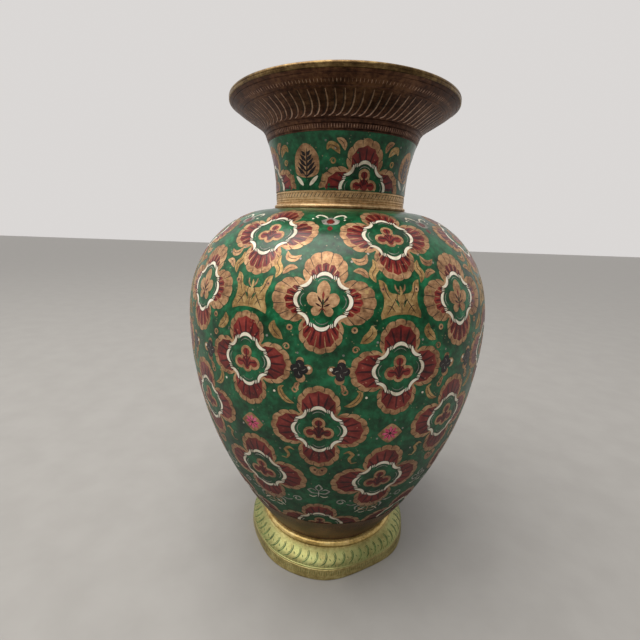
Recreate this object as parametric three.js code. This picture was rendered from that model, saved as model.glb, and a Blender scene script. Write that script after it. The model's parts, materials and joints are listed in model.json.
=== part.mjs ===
// A free-standing enamelled brass vase: trumpet mouth, straight neck with a collar, high-shouldered
// ovoid body and a spreading hollow foot. It is built up from turned and spun brass sections that are
// soldered end to end, with a skin of coloured lac let into the neck and the body.
// Units are millimetres, +Z is up, and the origin is the centre of the ring that the vase stands on.
import * as THREE from 'three';

// ---- Heights of the sections, from the foot up ----
const SKIRT_HEIGHT = 16.2;         // spreading foot, from the table to its top flange
const FOOT_COLLAR_HEIGHT = 4.1;    // round moulding between the foot and the body
const LOWER_BODY_HEIGHT = 136.5;   // from the moulding up to the widest girth
const UPPER_BODY_HEIGHT = 64.4;    // from the widest girth up to the root of the neck
const NECK_COLLAR_HEIGHT = 8.9;    // plain ring round the root of the neck
const NECK_HEIGHT = 32.3;          // from that ring up to the start of the flare
const FLARE_HEIGHT = 14.7;         // trumpet mouth without its lip
const LIP_HEIGHT = 2.9;

// ---- Outer radii ----
const STANDING_RADIUS = 55.0;      // foot, at the table
const SKIRT_STEP_RADIUS = 54.2;    // foot, at the groove above its upright edge band
const BODY_BASE_RADIUS = 44.0;
const BELLY_RADIUS = 90.6;
const NECK_ROOT_RADIUS = 38.8;
const NECK_TOP_RADIUS = 45.1;
const MOUTH_RADIUS = 64.4;         // trumpet, under the lip

// ---- Curve shape ----
const SHOULDER_RISE_POWER = 2.25;  // superellipse powers of the shoulder: along the height
const SHOULDER_REACH_POWER = 1.85; // and along the radius
const FLARE_LEAVE = 5.2;           // how far the flare follows the neck before it opens
const FLARE_LEAVE_OUT = 1.9;
const FLARE_ARRIVE = 6.5;          // and how far it runs in line before it meets the lip
const FLARE_ARRIVE_OUT = 7.9;

// ---- Walls, seats and small details ----
const BODY_WALL = 2.4;
const NECK_WALL = 2.0;
const FLARE_WALL = 1.8;
const SKIRT_WALL = 1.5;
const SPIGOT_WALL = 1.5;           // neck sleeve inside its collar
const SPIGOT_STEP = 1.6;           // how far the sleeve steps in there from the neck above
const NECK_COLLAR_WALL = 1.2;
const SHOULDER_LANDING = 1.3;      // level brass round the collar, where the shoulder ends
const BASE_PLATE_THICKNESS = 1.8;
const LAC_DEPTH = 0.8;             // how deep the coloured skin is let into the brass
const LAC_START = 25.5;            // top of the plain brass band, above the base of the body
const LAC_TOP_MARGIN = 1.2;        // bare brass between the body's lac and the neck's bead
const NECK_BARE_BAND = 4.9;        // bare brass at the top of the neck, under the flare
const SPIGOT_LENGTH = 7.0;         // how far the neck sleeve reaches down through the shoulder
const BEAD_RADIUS = 1.1;           // round bead at the bottom of the neck collar
const COLLAR_GROOVE = 0.35;        // two turned lines above that bead
const COLLAR_GROOVE_PITCH = 1.1;
const FOOT_COLLAR_STAND = 2.6;     // how far the foot's moulding stands out past the body's base
const FOOT_COLLAR_LEDGE = 5.6;     // and how far it reaches in under the base plate
const SKIRT_SET_BACK = 1.4;        // top of the foot, behind the crest of the moulding
const SKIRT_GROOVE_DEPTH = 0.5;
const SKIRT_GROOVE_WIDTH = 0.8;
const EDGE_BAND_HEIGHT = 8.2;      // upright band at the bottom of the foot
const EDGE_ROUND = 0.7;            // rounding of the edge that meets the table
const EDGE_FLAT = 1.6;             // width of the flat ring that the vase stands on
const LIP_STAND = 0.6;             // how far the lip stands out past the trumpet
const LIP_WIDTH = 3.4;
const LIP_ROUND = 0.9;
const SEAM = 0.1;                  // clearance where two sections meet or nest
const SOLDER_WIDTH = 3.0;          // leg of a soldered fillet
const LAP_THICKNESS = 1.0;         // lining strips behind the butt joints
const LAP_HEIGHT = 9.0;
const FLARE_LAP_HEIGHT = 5.0;

// ---- Turning resolution ----
const SIDES = 40;
const BODY_STEPS = 8;
const SHOULDER_STEPS = 8;
const NECK_STEPS = 4;
const FLARE_STEPS = 6;
const ROUND_STEPS = 6;

// ---- Heights of the section ends, worked out once ----
const Z_COLLAR_BOTTOM = SKIRT_HEIGHT;
const Z_BODY_BASE = Z_COLLAR_BOTTOM + FOOT_COLLAR_HEIGHT;
const Z_BELLY = Z_BODY_BASE + LOWER_BODY_HEIGHT;
const Z_SHOULDER_TOP = Z_BELLY + UPPER_BODY_HEIGHT;
const Z_NECK_ROOT = Z_SHOULDER_TOP + NECK_COLLAR_HEIGHT;
const Z_NECK_TOP = Z_NECK_ROOT + NECK_HEIGHT;
const Z_MOUTH = Z_NECK_TOP + FLARE_HEIGHT;
const Z_RIM = Z_MOUTH + LIP_HEIGHT;

// ---- Radii that follow from their neighbours ----
// The neck sleeve's end passes down inside its collar and through the shoulder.
const SPIGOT_RADIUS = NECK_ROOT_RADIUS - SPIGOT_STEP;
const NECK_HOLE_RADIUS = SPIGOT_RADIUS + SEAM;
const NECK_COLLAR_RADIUS = NECK_HOLE_RADIUS + NECK_COLLAR_WALL;
const SHOULDER_TOP_RADIUS = NECK_COLLAR_RADIUS + SHOULDER_LANDING;
const LIP_RADIUS = MOUTH_RADIUS + LIP_STAND;
const FOOT_COLLAR_RADIUS = BODY_BASE_RADIUS + FOOT_COLLAR_STAND;
const FOOT_COLLAR_BORE = BODY_BASE_RADIUS - BODY_WALL - FOOT_COLLAR_LEDGE;
const SKIRT_TOP_RADIUS = FOOT_COLLAR_RADIUS - SKIRT_SET_BACK;

const at = (radius, z) => new THREE.Vector2(radius, z);

// ---- Outer curves, each a function of 0..1 from its bottom to its top ----
function lowerBody(u) {
  const drop = 1 - u;
  const radius = BODY_BASE_RADIUS + (BELLY_RADIUS - BODY_BASE_RADIUS) * (1 - drop * drop);
  return at(radius, Z_BODY_BASE + LOWER_BODY_HEIGHT * u);
}

function upperBody(u) {
  const angle = u * Math.PI / 2;
  const rise = Math.sin(angle) ** (2 / SHOULDER_RISE_POWER);
  const reach = Math.max(Math.cos(angle), 0) ** (2 / SHOULDER_REACH_POWER);
  const radius = SHOULDER_TOP_RADIUS + (BELLY_RADIUS - SHOULDER_TOP_RADIUS) * reach;
  return at(radius, Z_BELLY + UPPER_BODY_HEIGHT * rise);
}

function neck(u) {
  const radius = NECK_ROOT_RADIUS + (NECK_TOP_RADIUS - NECK_ROOT_RADIUS) * u * u;
  return at(radius, Z_NECK_ROOT + NECK_HEIGHT * u);
}

const flareCurve = new THREE.CubicBezierCurve(
  at(NECK_TOP_RADIUS, Z_NECK_TOP),
  at(NECK_TOP_RADIUS + FLARE_LEAVE_OUT, Z_NECK_TOP + FLARE_LEAVE),
  at(MOUTH_RADIUS - FLARE_ARRIVE_OUT, Z_MOUTH - FLARE_ARRIVE),
  at(MOUTH_RADIUS, Z_MOUTH),
);
const flare = (u) => flareCurve.getPoint(u);

// ---- Profile helpers ----
// Points along a curve, from u0 to u1.
function sample(curve, u0, u1, steps) {
  return Array.from({ length: steps + 1 }, (_, i) => curve(u0 + (u1 - u0) * i / steps));
}

// The same points moved inward by a depth, square to the run of the profile.
function inset(points, depth) {
  return points.map((point, i) => {
    const before = points[Math.max(i - 1, 0)];
    const after = points[Math.min(i + 1, points.length - 1)];
    const run = after.clone().sub(before).normalize();
    return at(point.x - run.y * depth, point.y + run.x * depth);
  });
}

// A closed wall between two depths under one outer curve.
function wall(points, outerDepth, innerDepth) {
  return [...inset(points, outerDepth), ...inset(points, innerDepth).reverse()];
}

// A round stretch about a centre, from one angle to another in degrees.
function arc(radius, z, size, from, to, steps = ROUND_STEPS) {
  return Array.from({ length: steps + 1 }, (_, i) => {
    const angle = THREE.MathUtils.degToRad(from + (to - from) * i / steps);
    return at(radius + size * Math.cos(angle), z + size * Math.sin(angle));
  });
}

// The point at a height on a run of points that rises.
function pointAt(points, z) {
  const above = Math.max(points.findIndex((point) => point.y >= z), 1);
  const low = points[above - 1];
  const high = points[above];
  return low.clone().lerp(high, (z - low.y) / (high.y - low.y));
}

// A lining strip behind the butt joint of two bores, the lower one first.
function lap(name, lowerBore, upperBore, height) {
  const joint = lowerBore[lowerBore.length - 1];
  const below = pointAt(lowerBore, joint.y - height / 2);
  const above = pointAt(upperBore, joint.y + height / 2);
  return turned(name, wall([below, joint, above], SEAM, SEAM + LAP_THICKNESS), solder());
}

// Where on a curve a height is reached, found by halving.
function heightOn(curve, z) {
  let low = 0;
  let high = 1;
  for (let i = 0; i < 40; i += 1) {
    const middle = (low + high) / 2;
    if (curve(middle).y < z) {
      low = middle;
    } else {
      high = middle;
    }
  }
  return (low + high) / 2;
}

// A section turned about +Z from an outline that runs counter-clockwise in (radius, height).
function turned(name, outline, material) {
  const geometry = new THREE.LatheGeometry([...outline, outline[0]], SIDES);
  geometry.rotateX(Math.PI / 2);
  const mesh = new THREE.Mesh(geometry, material);
  mesh.name = name;
  return mesh;
}

// ---- Materials ----
function brightBrass() {
  return new THREE.MeshStandardMaterial({ color: 0xc9a85c, roughness: 0.32, metalness: 1 });
}

function darkBrass() {
  return new THREE.MeshStandardMaterial({ color: 0x5a3d2c, roughness: 0.42, metalness: 0.85 });
}

function innerBrass() {
  return new THREE.MeshStandardMaterial({ color: 0x7a6238, roughness: 0.6, metalness: 0.8 });
}

function greenLac() {
  return new THREE.MeshStandardMaterial({ color: 0x0f5a38, roughness: 0.22, metalness: 0 });
}

function solder() {
  return new THREE.MeshStandardMaterial({ color: 0x9a958c, roughness: 0.55, metalness: 0.9 });
}

// ---- Mouth ----
function lipRing() {
  const inner = LIP_RADIUS - LIP_WIDTH;
  const bottom = Z_MOUTH + SEAM;
  const outline = [
    at(inner, bottom),
    ...arc(LIP_RADIUS - LIP_ROUND / 2, bottom + LIP_ROUND / 2, LIP_ROUND / 2, -90, 0, 2),
    ...arc(LIP_RADIUS - LIP_ROUND, Z_RIM - LIP_ROUND, LIP_ROUND, 0, 90, 3),
    ...arc(inner + LIP_ROUND, Z_RIM - LIP_ROUND, LIP_ROUND, 90, 180, 3),
  ];
  return turned('lip_ring', outline, brightBrass());
}

// Both ends of a bore are cut level, so that the sections butt face to face.
function flareBore() {
  const bore = inset(sample(flare, 0, 1, FLARE_STEPS), FLARE_WALL);
  bore[0].y = Z_NECK_TOP;
  bore[FLARE_STEPS].y = Z_MOUTH;
  return bore;
}

function mouthFlare() {
  const outline = [...sample(flare, 0, 1, FLARE_STEPS), ...flareBore().reverse()];
  return turned('mouth_flare', outline, darkBrass());
}

function flareLap() {
  return lap('flare_joint_lap', neckBore(), flareBore(), FLARE_LAP_HEIGHT);
}

// ---- Neck ----
function neckBore() {
  const bore = inset(sample(neck, 0, 1, NECK_STEPS), NECK_WALL);
  bore[NECK_STEPS].y = Z_NECK_TOP - SEAM;
  return bore;
}

function neckSleeve() {
  const recess = LAC_DEPTH + SEAM;
  const spigotBore = SPIGOT_RADIUS - SPIGOT_WALL;
  const bottom = Z_SHOULDER_TOP - SPIGOT_LENGTH;
  const bandStart = heightOn(neck, Z_NECK_TOP - NECK_BARE_BAND);
  const underLac = inset(sample(neck, 0, bandStart, NECK_STEPS), recess);
  underLac[0].y = Z_NECK_ROOT;
  underLac[NECK_STEPS].y = Z_NECK_TOP - NECK_BARE_BAND;
  const bareBand = sample(neck, bandStart, 1, 1);
  bareBand[1].y = Z_NECK_TOP - SEAM;
  const outline = [
    at(spigotBore, bottom),
    at(SPIGOT_RADIUS, bottom),
    at(SPIGOT_RADIUS, Z_NECK_ROOT),
    ...underLac,
    ...bareBand,
    ...neckBore().slice(1).reverse(),
    at(spigotBore, Z_NECK_ROOT),
  ];
  return turned('neck_sleeve', outline, darkBrass());
}

function neckEnamel() {
  const bandStart = heightOn(neck, Z_NECK_TOP - NECK_BARE_BAND);
  const face = sample(neck, 0, bandStart, NECK_STEPS);
  const back = inset(face, LAC_DEPTH);
  const bottom = Z_NECK_ROOT + SEAM;
  const top = Z_NECK_TOP - NECK_BARE_BAND - SEAM;
  face[0].y = bottom;
  back[0].y = bottom;
  face[NECK_STEPS].y = top;
  back[NECK_STEPS].y = top;
  return turned('neck_enamel', [...face, ...back.reverse()], greenLac());
}

function neckCollar() {
  const bottom = Z_SHOULDER_TOP + SEAM;
  const beadTop = bottom + 2 * BEAD_RADIUS;
  const top = Z_NECK_ROOT - SEAM;
  const groove = (z) => [
    at(NECK_COLLAR_RADIUS, z - COLLAR_GROOVE),
    at(NECK_COLLAR_RADIUS - COLLAR_GROOVE, z),
    at(NECK_COLLAR_RADIUS, z + COLLAR_GROOVE),
  ];
  const outline = [
    at(NECK_HOLE_RADIUS, bottom),
    ...arc(NECK_COLLAR_RADIUS, bottom + BEAD_RADIUS, BEAD_RADIUS, -90, 90, 4),
    ...groove(beadTop + COLLAR_GROOVE_PITCH / 2),
    ...groove(beadTop + COLLAR_GROOVE_PITCH * 3 / 2),
    at(NECK_COLLAR_RADIUS, top),
    at(NECK_HOLE_RADIUS, top),
  ];
  return turned('neck_collar', outline, brightBrass());
}

// A soldered fillet under the shoulder, round the end of the neck sleeve.
function neckSolder() {
  const top = Z_SHOULDER_TOP - BODY_WALL - SEAM;
  const outline = [
    at(NECK_HOLE_RADIUS, top - SOLDER_WIDTH),
    at(NECK_HOLE_RADIUS + SOLDER_WIDTH, top),
    at(NECK_HOLE_RADIUS, top),
  ];
  return turned('neck_solder', outline, solder());
}

// ---- Body ----
const lacTop = () => {
  const edge = SHOULDER_TOP_RADIUS + LAC_TOP_MARGIN;
  const reach = (edge - SHOULDER_TOP_RADIUS) / (BELLY_RADIUS - SHOULDER_TOP_RADIUS);
  return Math.acos(reach ** (SHOULDER_REACH_POWER / 2)) / (Math.PI / 2);
};

function shoulderBore() {
  const bore = inset(sample(upperBody, 0, lacTop(), SHOULDER_STEPS), BODY_WALL);
  bore[0] = at(BELLY_RADIUS - BODY_WALL, Z_BELLY + SEAM / 2);
  return bore;
}

function shoulderShell() {
  const recess = LAC_DEPTH + SEAM;
  const end = lacTop();
  const underLac = inset(sample(upperBody, 0, end, SHOULDER_STEPS), recess);
  underLac[0] = at(BELLY_RADIUS - recess, Z_BELLY + SEAM / 2);
  const edge = upperBody(end);
  const outline = [
    ...underLac,
    at(underLac[SHOULDER_STEPS].x, edge.y),
    at(SHOULDER_TOP_RADIUS, Z_SHOULDER_TOP),
    at(NECK_HOLE_RADIUS, Z_SHOULDER_TOP),
    at(NECK_HOLE_RADIUS, Z_SHOULDER_TOP - BODY_WALL),
    ...shoulderBore().reverse(),
  ];
  return turned('shoulder_shell', outline, darkBrass());
}

function bellyBore() {
  const bore = inset(sample(lowerBody, 0, 1, BODY_STEPS), BODY_WALL);
  bore[0].y = Z_BODY_BASE;
  bore[BODY_STEPS] = at(BELLY_RADIUS - BODY_WALL, Z_BELLY - SEAM / 2);
  return bore;
}

function bellyShell() {
  const recess = LAC_DEPTH + SEAM;
  const start = heightOn(lowerBody, Z_BODY_BASE + LAC_START);
  const band = sample(lowerBody, 0, start, 2);
  const underLac = inset(sample(lowerBody, start, 1, BODY_STEPS), recess);
  underLac[BODY_STEPS] = at(BELLY_RADIUS - recess, Z_BELLY - SEAM / 2);
  return turned('belly_shell', [...band, ...underLac, ...bellyBore().reverse()], darkBrass());
}

function bodyEnamel() {
  const start = heightOn(lowerBody, Z_BODY_BASE + LAC_START);
  const lower = sample(lowerBody, start, 1, BODY_STEPS);
  const upper = sample(upperBody, 0, lacTop(), SHOULDER_STEPS);
  const back = [...inset(lower, LAC_DEPTH).slice(0, -1), ...inset(upper, LAC_DEPTH)];
  const face = [...lower.slice(0, -1), ...upper];
  back[BODY_STEPS] = at(BELLY_RADIUS - LAC_DEPTH, Z_BELLY);
  // Both edges of the skin stop a seam short of the brass that frames it.
  face[0].y += SEAM;
  back[0].y += SEAM;
  face[face.length - 1].x += SEAM;
  back[back.length - 1].x += SEAM;
  return turned('body_enamel', [...face, ...back.reverse()], greenLac());
}

function bodyLap() {
  return lap('body_joint_lap', bellyBore(), shoulderBore(), LAP_HEIGHT);
}

function basePlate() {
  const bottom = Z_BODY_BASE + SEAM;
  const inside = bellyBore()[0].x - SEAM;
  const outline = [
    at(0, bottom),
    at(inside, bottom),
    at(inside, bottom + BASE_PLATE_THICKNESS),
    at(0, bottom + BASE_PLATE_THICKNESS),
  ];
  return turned('base_plate', outline, innerBrass());
}

// ---- Foot ----
function footCollar() {
  const bottom = Z_COLLAR_BOTTOM + SEAM;
  const top = Z_BODY_BASE - SEAM;
  const round = (top - bottom) / 2;
  const outline = [
    at(FOOT_COLLAR_BORE, bottom),
    ...arc(FOOT_COLLAR_RADIUS - round, bottom + round, round, -90, 90),
    at(FOOT_COLLAR_BORE, top),
  ];
  return turned('foot_collar', outline, brightBrass());
}

function footSkirt() {
  const innerEdge = STANDING_RADIUS - EDGE_ROUND - EDGE_FLAT;
  const shoulder = new THREE.QuadraticBezierCurve(
    at(SKIRT_STEP_RADIUS, EDGE_BAND_HEIGHT + SKIRT_GROOVE_WIDTH),
    at(SKIRT_STEP_RADIUS - SKIRT_WALL, (EDGE_BAND_HEIGHT + SKIRT_HEIGHT) / 2),
    at(SKIRT_TOP_RADIUS, SKIRT_HEIGHT),
  );
  const slope = shoulder.getPoints(4);
  const bore = inset(slope, SKIRT_WALL).reverse();
  bore[0].y = SKIRT_HEIGHT - SKIRT_WALL;
  const outline = [
    at(innerEdge, 0),
    ...arc(STANDING_RADIUS - EDGE_ROUND, EDGE_ROUND, EDGE_ROUND, -90, 0, 3),
    at(SKIRT_STEP_RADIUS, EDGE_BAND_HEIGHT),
    at(SKIRT_STEP_RADIUS - SKIRT_GROOVE_DEPTH, EDGE_BAND_HEIGHT + SKIRT_GROOVE_WIDTH / 2),
    ...slope,
    at(FOOT_COLLAR_BORE, SKIRT_HEIGHT),
    at(FOOT_COLLAR_BORE, SKIRT_HEIGHT - SKIRT_WALL),
    ...bore,
  ];
  return turned('foot_skirt', outline, brightBrass());
}

// A soldered fillet in the hollow of the foot, between its moulding and the base plate.
function footSolder() {
  const top = Z_BODY_BASE - SEAM;
  const outer = FOOT_COLLAR_BORE - SEAM;
  const outline = [at(outer, top - SOLDER_WIDTH), at(outer, top), at(outer - SOLDER_WIDTH, top)];
  return turned('foot_solder', outline, solder());
}

const vase = new THREE.Group();
vase.add(
  lipRing(),
  mouthFlare(),
  flareLap(),
  neckSleeve(),
  neckEnamel(),
  neckCollar(),
  neckSolder(),
  shoulderShell(),
  bellyShell(),
  bodyEnamel(),
  bodyLap(),
  basePlate(),
  footCollar(),
  footSkirt(),
  footSolder(),
);

export default vase;
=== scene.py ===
# %% [markdown]
# # A turned brass vase with coloured lac, made in Blender
# The real object is a pot-bellied brass vase on a trumpet foot. Its parts were spun or turned on a lathe,
# soldered together, then the body and the neck were engraved, filled with coloured lac and polished flush.
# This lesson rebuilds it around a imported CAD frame: every turned part is turned again with finer steps, and
# the engraved and lac-filled pattern is drawn flat, like a craftsman's paper stencil, and laid round the
# body with Geometry Nodes. The first cell loads the frame. Everything is in metres and stands where the CAD
# part stands.

# %% Load the frame
import json
import math

import bmesh
import bpy
from mathutils import Matrix, Vector
from mathutils.geometry import delaunay_2d_cdt

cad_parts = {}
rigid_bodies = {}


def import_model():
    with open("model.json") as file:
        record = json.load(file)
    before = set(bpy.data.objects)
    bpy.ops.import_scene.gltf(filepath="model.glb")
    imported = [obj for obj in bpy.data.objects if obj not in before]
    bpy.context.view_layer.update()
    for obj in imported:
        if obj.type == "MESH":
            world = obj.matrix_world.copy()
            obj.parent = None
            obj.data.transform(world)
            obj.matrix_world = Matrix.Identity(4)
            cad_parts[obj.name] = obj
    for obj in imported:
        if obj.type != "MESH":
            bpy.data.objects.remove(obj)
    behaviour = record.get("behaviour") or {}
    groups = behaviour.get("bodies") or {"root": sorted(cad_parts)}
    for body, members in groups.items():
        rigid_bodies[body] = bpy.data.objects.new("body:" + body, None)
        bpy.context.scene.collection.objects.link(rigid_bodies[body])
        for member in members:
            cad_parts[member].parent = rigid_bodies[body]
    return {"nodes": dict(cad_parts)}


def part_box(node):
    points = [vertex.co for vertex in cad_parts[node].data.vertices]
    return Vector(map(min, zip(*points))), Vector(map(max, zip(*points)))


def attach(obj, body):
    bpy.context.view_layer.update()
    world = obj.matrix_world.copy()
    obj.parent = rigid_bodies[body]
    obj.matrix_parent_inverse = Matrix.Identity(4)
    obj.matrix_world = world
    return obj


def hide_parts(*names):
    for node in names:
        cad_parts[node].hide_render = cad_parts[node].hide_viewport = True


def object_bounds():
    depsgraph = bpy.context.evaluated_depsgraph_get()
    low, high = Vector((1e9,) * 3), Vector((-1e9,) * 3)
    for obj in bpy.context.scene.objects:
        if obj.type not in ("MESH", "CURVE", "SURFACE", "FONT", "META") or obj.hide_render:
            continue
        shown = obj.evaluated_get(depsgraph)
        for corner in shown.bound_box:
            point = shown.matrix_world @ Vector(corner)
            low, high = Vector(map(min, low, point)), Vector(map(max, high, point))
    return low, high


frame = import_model()
cad_box = [list(corner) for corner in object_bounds()]
MM = 0.001
print("CAD box in mm:", [[round(v / MM, 1) for v in corner] for corner in cad_box])

# %% [markdown]
# ## Camera
# The camera comes early, because every later look is judged through it. It stands in front of the vase a
# little below the rim and looks slightly down with a wide lens, the way a telephone held close would. A
# wide lens matters: it makes the mouth look broad and the foot look small. The heights are shares of the
# vase's own height, so that the view follows the frame if the frame is ever rescaled.

# %% Camera
TALL = cad_box[1][2]
LOOK_DOWN, LOOK_LEFT, TILT = math.radians(13.70), math.radians(-2.261), math.radians(1.847)

forward = Vector((math.sin(LOOK_LEFT) * math.cos(LOOK_DOWN), math.cos(LOOK_LEFT) * math.cos(LOOK_DOWN),
                  -math.sin(LOOK_DOWN)))
level = Vector((math.cos(LOOK_LEFT), -math.sin(LOOK_LEFT), 0))
upright = level.cross(forward)
right = level * math.cos(TILT) + upright * math.sin(TILT)
up = upright * math.cos(TILT) - level * math.sin(TILT)

camera = bpy.data.objects.new("camera", bpy.data.cameras.new("camera"))
bpy.context.scene.collection.objects.link(camera)
camera.data.sensor_width, camera.data.lens = 36, 21.6
camera.data.clip_start = 0.01
axes = Matrix((right, up, -forward)).transposed()
camera.matrix_world = Matrix.Translation((0, -0.8809 * TALL, 0.7564 * TALL)) @ axes.to_4x4()
bpy.context.scene.camera = camera
print("camera at", [round(v, 3) for v in camera.matrix_world.translation])

# %% [markdown]
# ## A bench for node trees
# Materials and Geometry Nodes are both node trees. Writing them node by node is long, so one small class
# wraps a socket and lets ordinary sums add Math nodes, and one method adds any other node: its settings are
# set first, then its sockets get a number or a link.

# %% Node bench
class Wire:
    """A node's output that can be used in sums: 1 - wire * 2 adds the Math nodes."""

    def __init__(self, bench, socket):
        self.bench, self.socket = bench, socket

    def above(self, low, high):
        """0 below low, 1 above high, and a soft step between them."""
        return self.bench.node("ShaderNodeMapRange", {"interpolation_type": "SMOOTHSTEP"},
                               {"Value": self, "From Min": low, "From Max": high})


class Bench:
    """A node tree that nodes and sums are added to."""

    def __init__(self, tree):
        self.tree = tree

    def node(self, kind, settings=None, sockets=None, out=0):
        made = self.tree.nodes.new(kind)
        for name, value in (settings or {}).items():
            if name == "stops":
                ramp = made.color_ramp.elements
                while len(ramp) < len(value):
                    ramp.new(1)
                for stop, (place, colour) in zip(ramp, value):
                    stop.position, stop.color = place, (*colour, 1)
            else:
                setattr(made, name, value)
        for name, value in (sockets or {}).items():
            if isinstance(value, Wire):
                self.tree.links.new(value.socket, made.inputs[name])
            else:
                made.inputs[name].default_value = value
        return Wire(self, made.outputs[out]) if len(made.outputs) else made

    def maths(self, operation, *values):
        return self.node("ShaderNodeMath", {"operation": operation}, dict(enumerate(values)))

    def split(self, vector):
        """The three parts of a vector."""
        node = self.node("ShaderNodeSeparateXYZ", {}, {0: vector}).socket.node
        return [Wire(self, output) for output in node.outputs]

    def round_axis(self, radius, turn, height):
        """The place at a radius, an angle and a height. Angle 0 is straight to the front, towards -Y."""
        x, y = radius * self.maths("SINE", turn), 0 - radius * self.maths("COSINE", turn)
        return self.node("ShaderNodeCombineXYZ", {}, {0: x, 1: y, 2: height})


def teach(operator, operation):
    """Gives Wire an operator and its reflected form."""
    setattr(Wire, f"__{operator}__", lambda wire, other: wire.bench.maths(operation, wire, other))
    setattr(Wire, f"__r{operator}__", lambda wire, other: wire.bench.maths(operation, other, wire))


for operator, operation in (("add", "ADD"), ("sub", "SUBTRACT"), ("mul", "MULTIPLY"), ("truediv", "DIVIDE"),
                            ("mod", "FLOORED_MODULO")):
    teach(operator, operation)
print("sums on wires: add, subtract, multiply, divide, remainder")

# %% [markdown]
# ## Reading the turned sections
# A turned part is its section swept round an axis. The CAD nodes have forty sides, which shows as flats on
# a shiny vase, so the section is read back from the frame: the corners that lie in the plane x = 0 on the
# near side, walked in order. Runs without a sharp corner are then given more stations on a smooth curve
# through the same points, so the shape stays the CAD's and only the facets go.

# %% Sections from the frame
TOUCHING = 2e-6     # metres: corners nearer than this are one corner


def section_of(name):
    """The closed outline of a turned CAD part as (radius, height) points in metres."""
    solid = bmesh.new()
    solid.from_mesh(frame["nodes"][name].data)
    bmesh.ops.remove_doubles(solid, verts=solid.verts, dist=TOUCHING)
    near = {v for v in solid.verts if abs(v.co.x) < TOUCHING and v.co.y < TOUCHING}
    beside = {v: [e.other_vert(v) for e in v.link_edges if e.other_vert(v) in near] for v in near}
    ends = [v for v in near if len(beside[v]) == 1]
    walk = [ends[0] if ends else min(near, key=lambda v: (v.co.z, v.co.y))]
    while True:
        onward = [v for v in beside[walk[-1]] if v not in walk[-2:] and v is not walk[0]]
        if not onward:
            break
        walk.append(onward[0])
    points = [(-v.co.y, v.co.z) for v in walk]
    solid.free()
    return points


def turn_angle(a, b, c):
    """How sharply a path turns at its middle point."""
    before, after = math.atan2(b[1] - a[1], b[0] - a[0]), math.atan2(c[1] - b[1], c[0] - b[0])
    return abs(math.remainder(after - before, math.tau))


def eased(points, step, closed=True, corner=math.radians(27)):
    """More stations on every smooth run of an outline, by a Catmull-Rom curve through its own points."""
    n, out = len(points), []

    def at(i):
        return points[i % n] if closed else points[max(0, min(n - 1, i))]

    def sharp(i):
        i = i % n if closed else i
        return (not closed and i in (0, n - 1)) or turn_angle(at(i - 1), at(i), at(i + 1)) > corner

    for i in range(n if closed else n - 1):
        b, c = at(i), at(i + 1)
        a = (2 * b[0] - c[0], 2 * b[1] - c[1]) if sharp(i) else at(i - 1)
        d = (2 * c[0] - b[0], 2 * c[1] - b[1]) if sharp(i + 1) else at(i + 2)
        straight = sharp(i) and sharp(i + 1)
        pieces = 1 if straight else max(1, math.ceil(math.dist(b, c) / step))
        reach = [max(math.dist(p, q), 1e-9) ** 0.5 for p, q in ((a, b), (b, c), (c, d))]
        for k in range(pieces):
            t = k / pieces
            point = []
            for p, q, r, s in zip(a, b, c, d):
                across_q, across_r = (r - p) / (reach[0] + reach[1]), (s - q) / (reach[1] + reach[2])
                slope_q = (r - q) + ((q - p) / reach[0] - across_q) * reach[1]
                slope_r = (r - q) + ((s - r) / reach[2] - across_r) * reach[1]
                h = t * t * (3 - 2 * t)
                point.append(q * (1 - h) + r * h + slope_q * t * (1 - t) ** 2 - slope_r * t * t * (1 - t))
            out.append(tuple(point))
    return out if closed else out + [points[-1]]


def outer_line(section):
    """The outside of a section, from its lowest point to its highest."""
    low = min(range(len(section)), key=lambda i: (round(section[i][1], 6), -section[i][0]))
    high = max(range(len(section)), key=lambda i: (round(section[i][1], 6), section[i][0]))
    turned = section[low:] + section[:low]
    split = (high - low) % len(section)
    ways = [turned[:split + 1], [turned[0]] + turned[split:][::-1]]
    return max(ways, key=lambda way: sum((a[0] + b[0]) * (b[1] - a[1]) for a, b in zip(way, way[1:])))


SECTIONS = {name: section_of(name) for name in frame["nodes"]}
print("section points:", {name: len(points) for name, points in SECTIONS.items()})

# %% [markdown]
# ## Turning on the lathe
# One Geometry Nodes tree does what the lathe does. It takes a section as a ring of points, makes a grid
# with one column for each step of the turn and one row for each point of the section, looks up the point
# that each row stands for, and sets the row at its radius and height round the axis. Merge by Distance
# closes the seam and the poles. The same tree turns all the parts, so they share their steps and sit neatly
# in each other.

# %% Lathe tree
def new_tree(title, inputs):
    """An empty Geometry Nodes group with named inputs.

    Returns its bench, its input wires and their identifiers.
    """
    tree = bpy.data.node_groups.new(title, "GeometryNodeTree")
    sockets = {"Shape": tree.interface.new_socket("Shape", in_out="INPUT",
                                                  socket_type="NodeSocketGeometry")}
    for name, kind in inputs.items():
        sockets[name] = tree.interface.new_socket(name, in_out="INPUT", socket_type="NodeSocket" + kind)
    tree.interface.new_socket("Result", in_out="OUTPUT", socket_type="NodeSocketGeometry")
    bench = Bench(tree)
    start = tree.nodes.new("NodeGroupInput")
    wires = {name: Wire(bench, start.outputs[name]) for name in sockets}
    return bench, wires, {name: socket.identifier for name, socket in sockets.items()}


def end_tree(bench, geometry, material):
    real = bench.node("GeometryNodeRealizeInstances", {}, {0: geometry})
    dressed = bench.node("GeometryNodeSetMaterial", {}, {"Geometry": real, "Material": material})
    bench.node("NodeGroupOutput", {}, {0: dressed})


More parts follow.
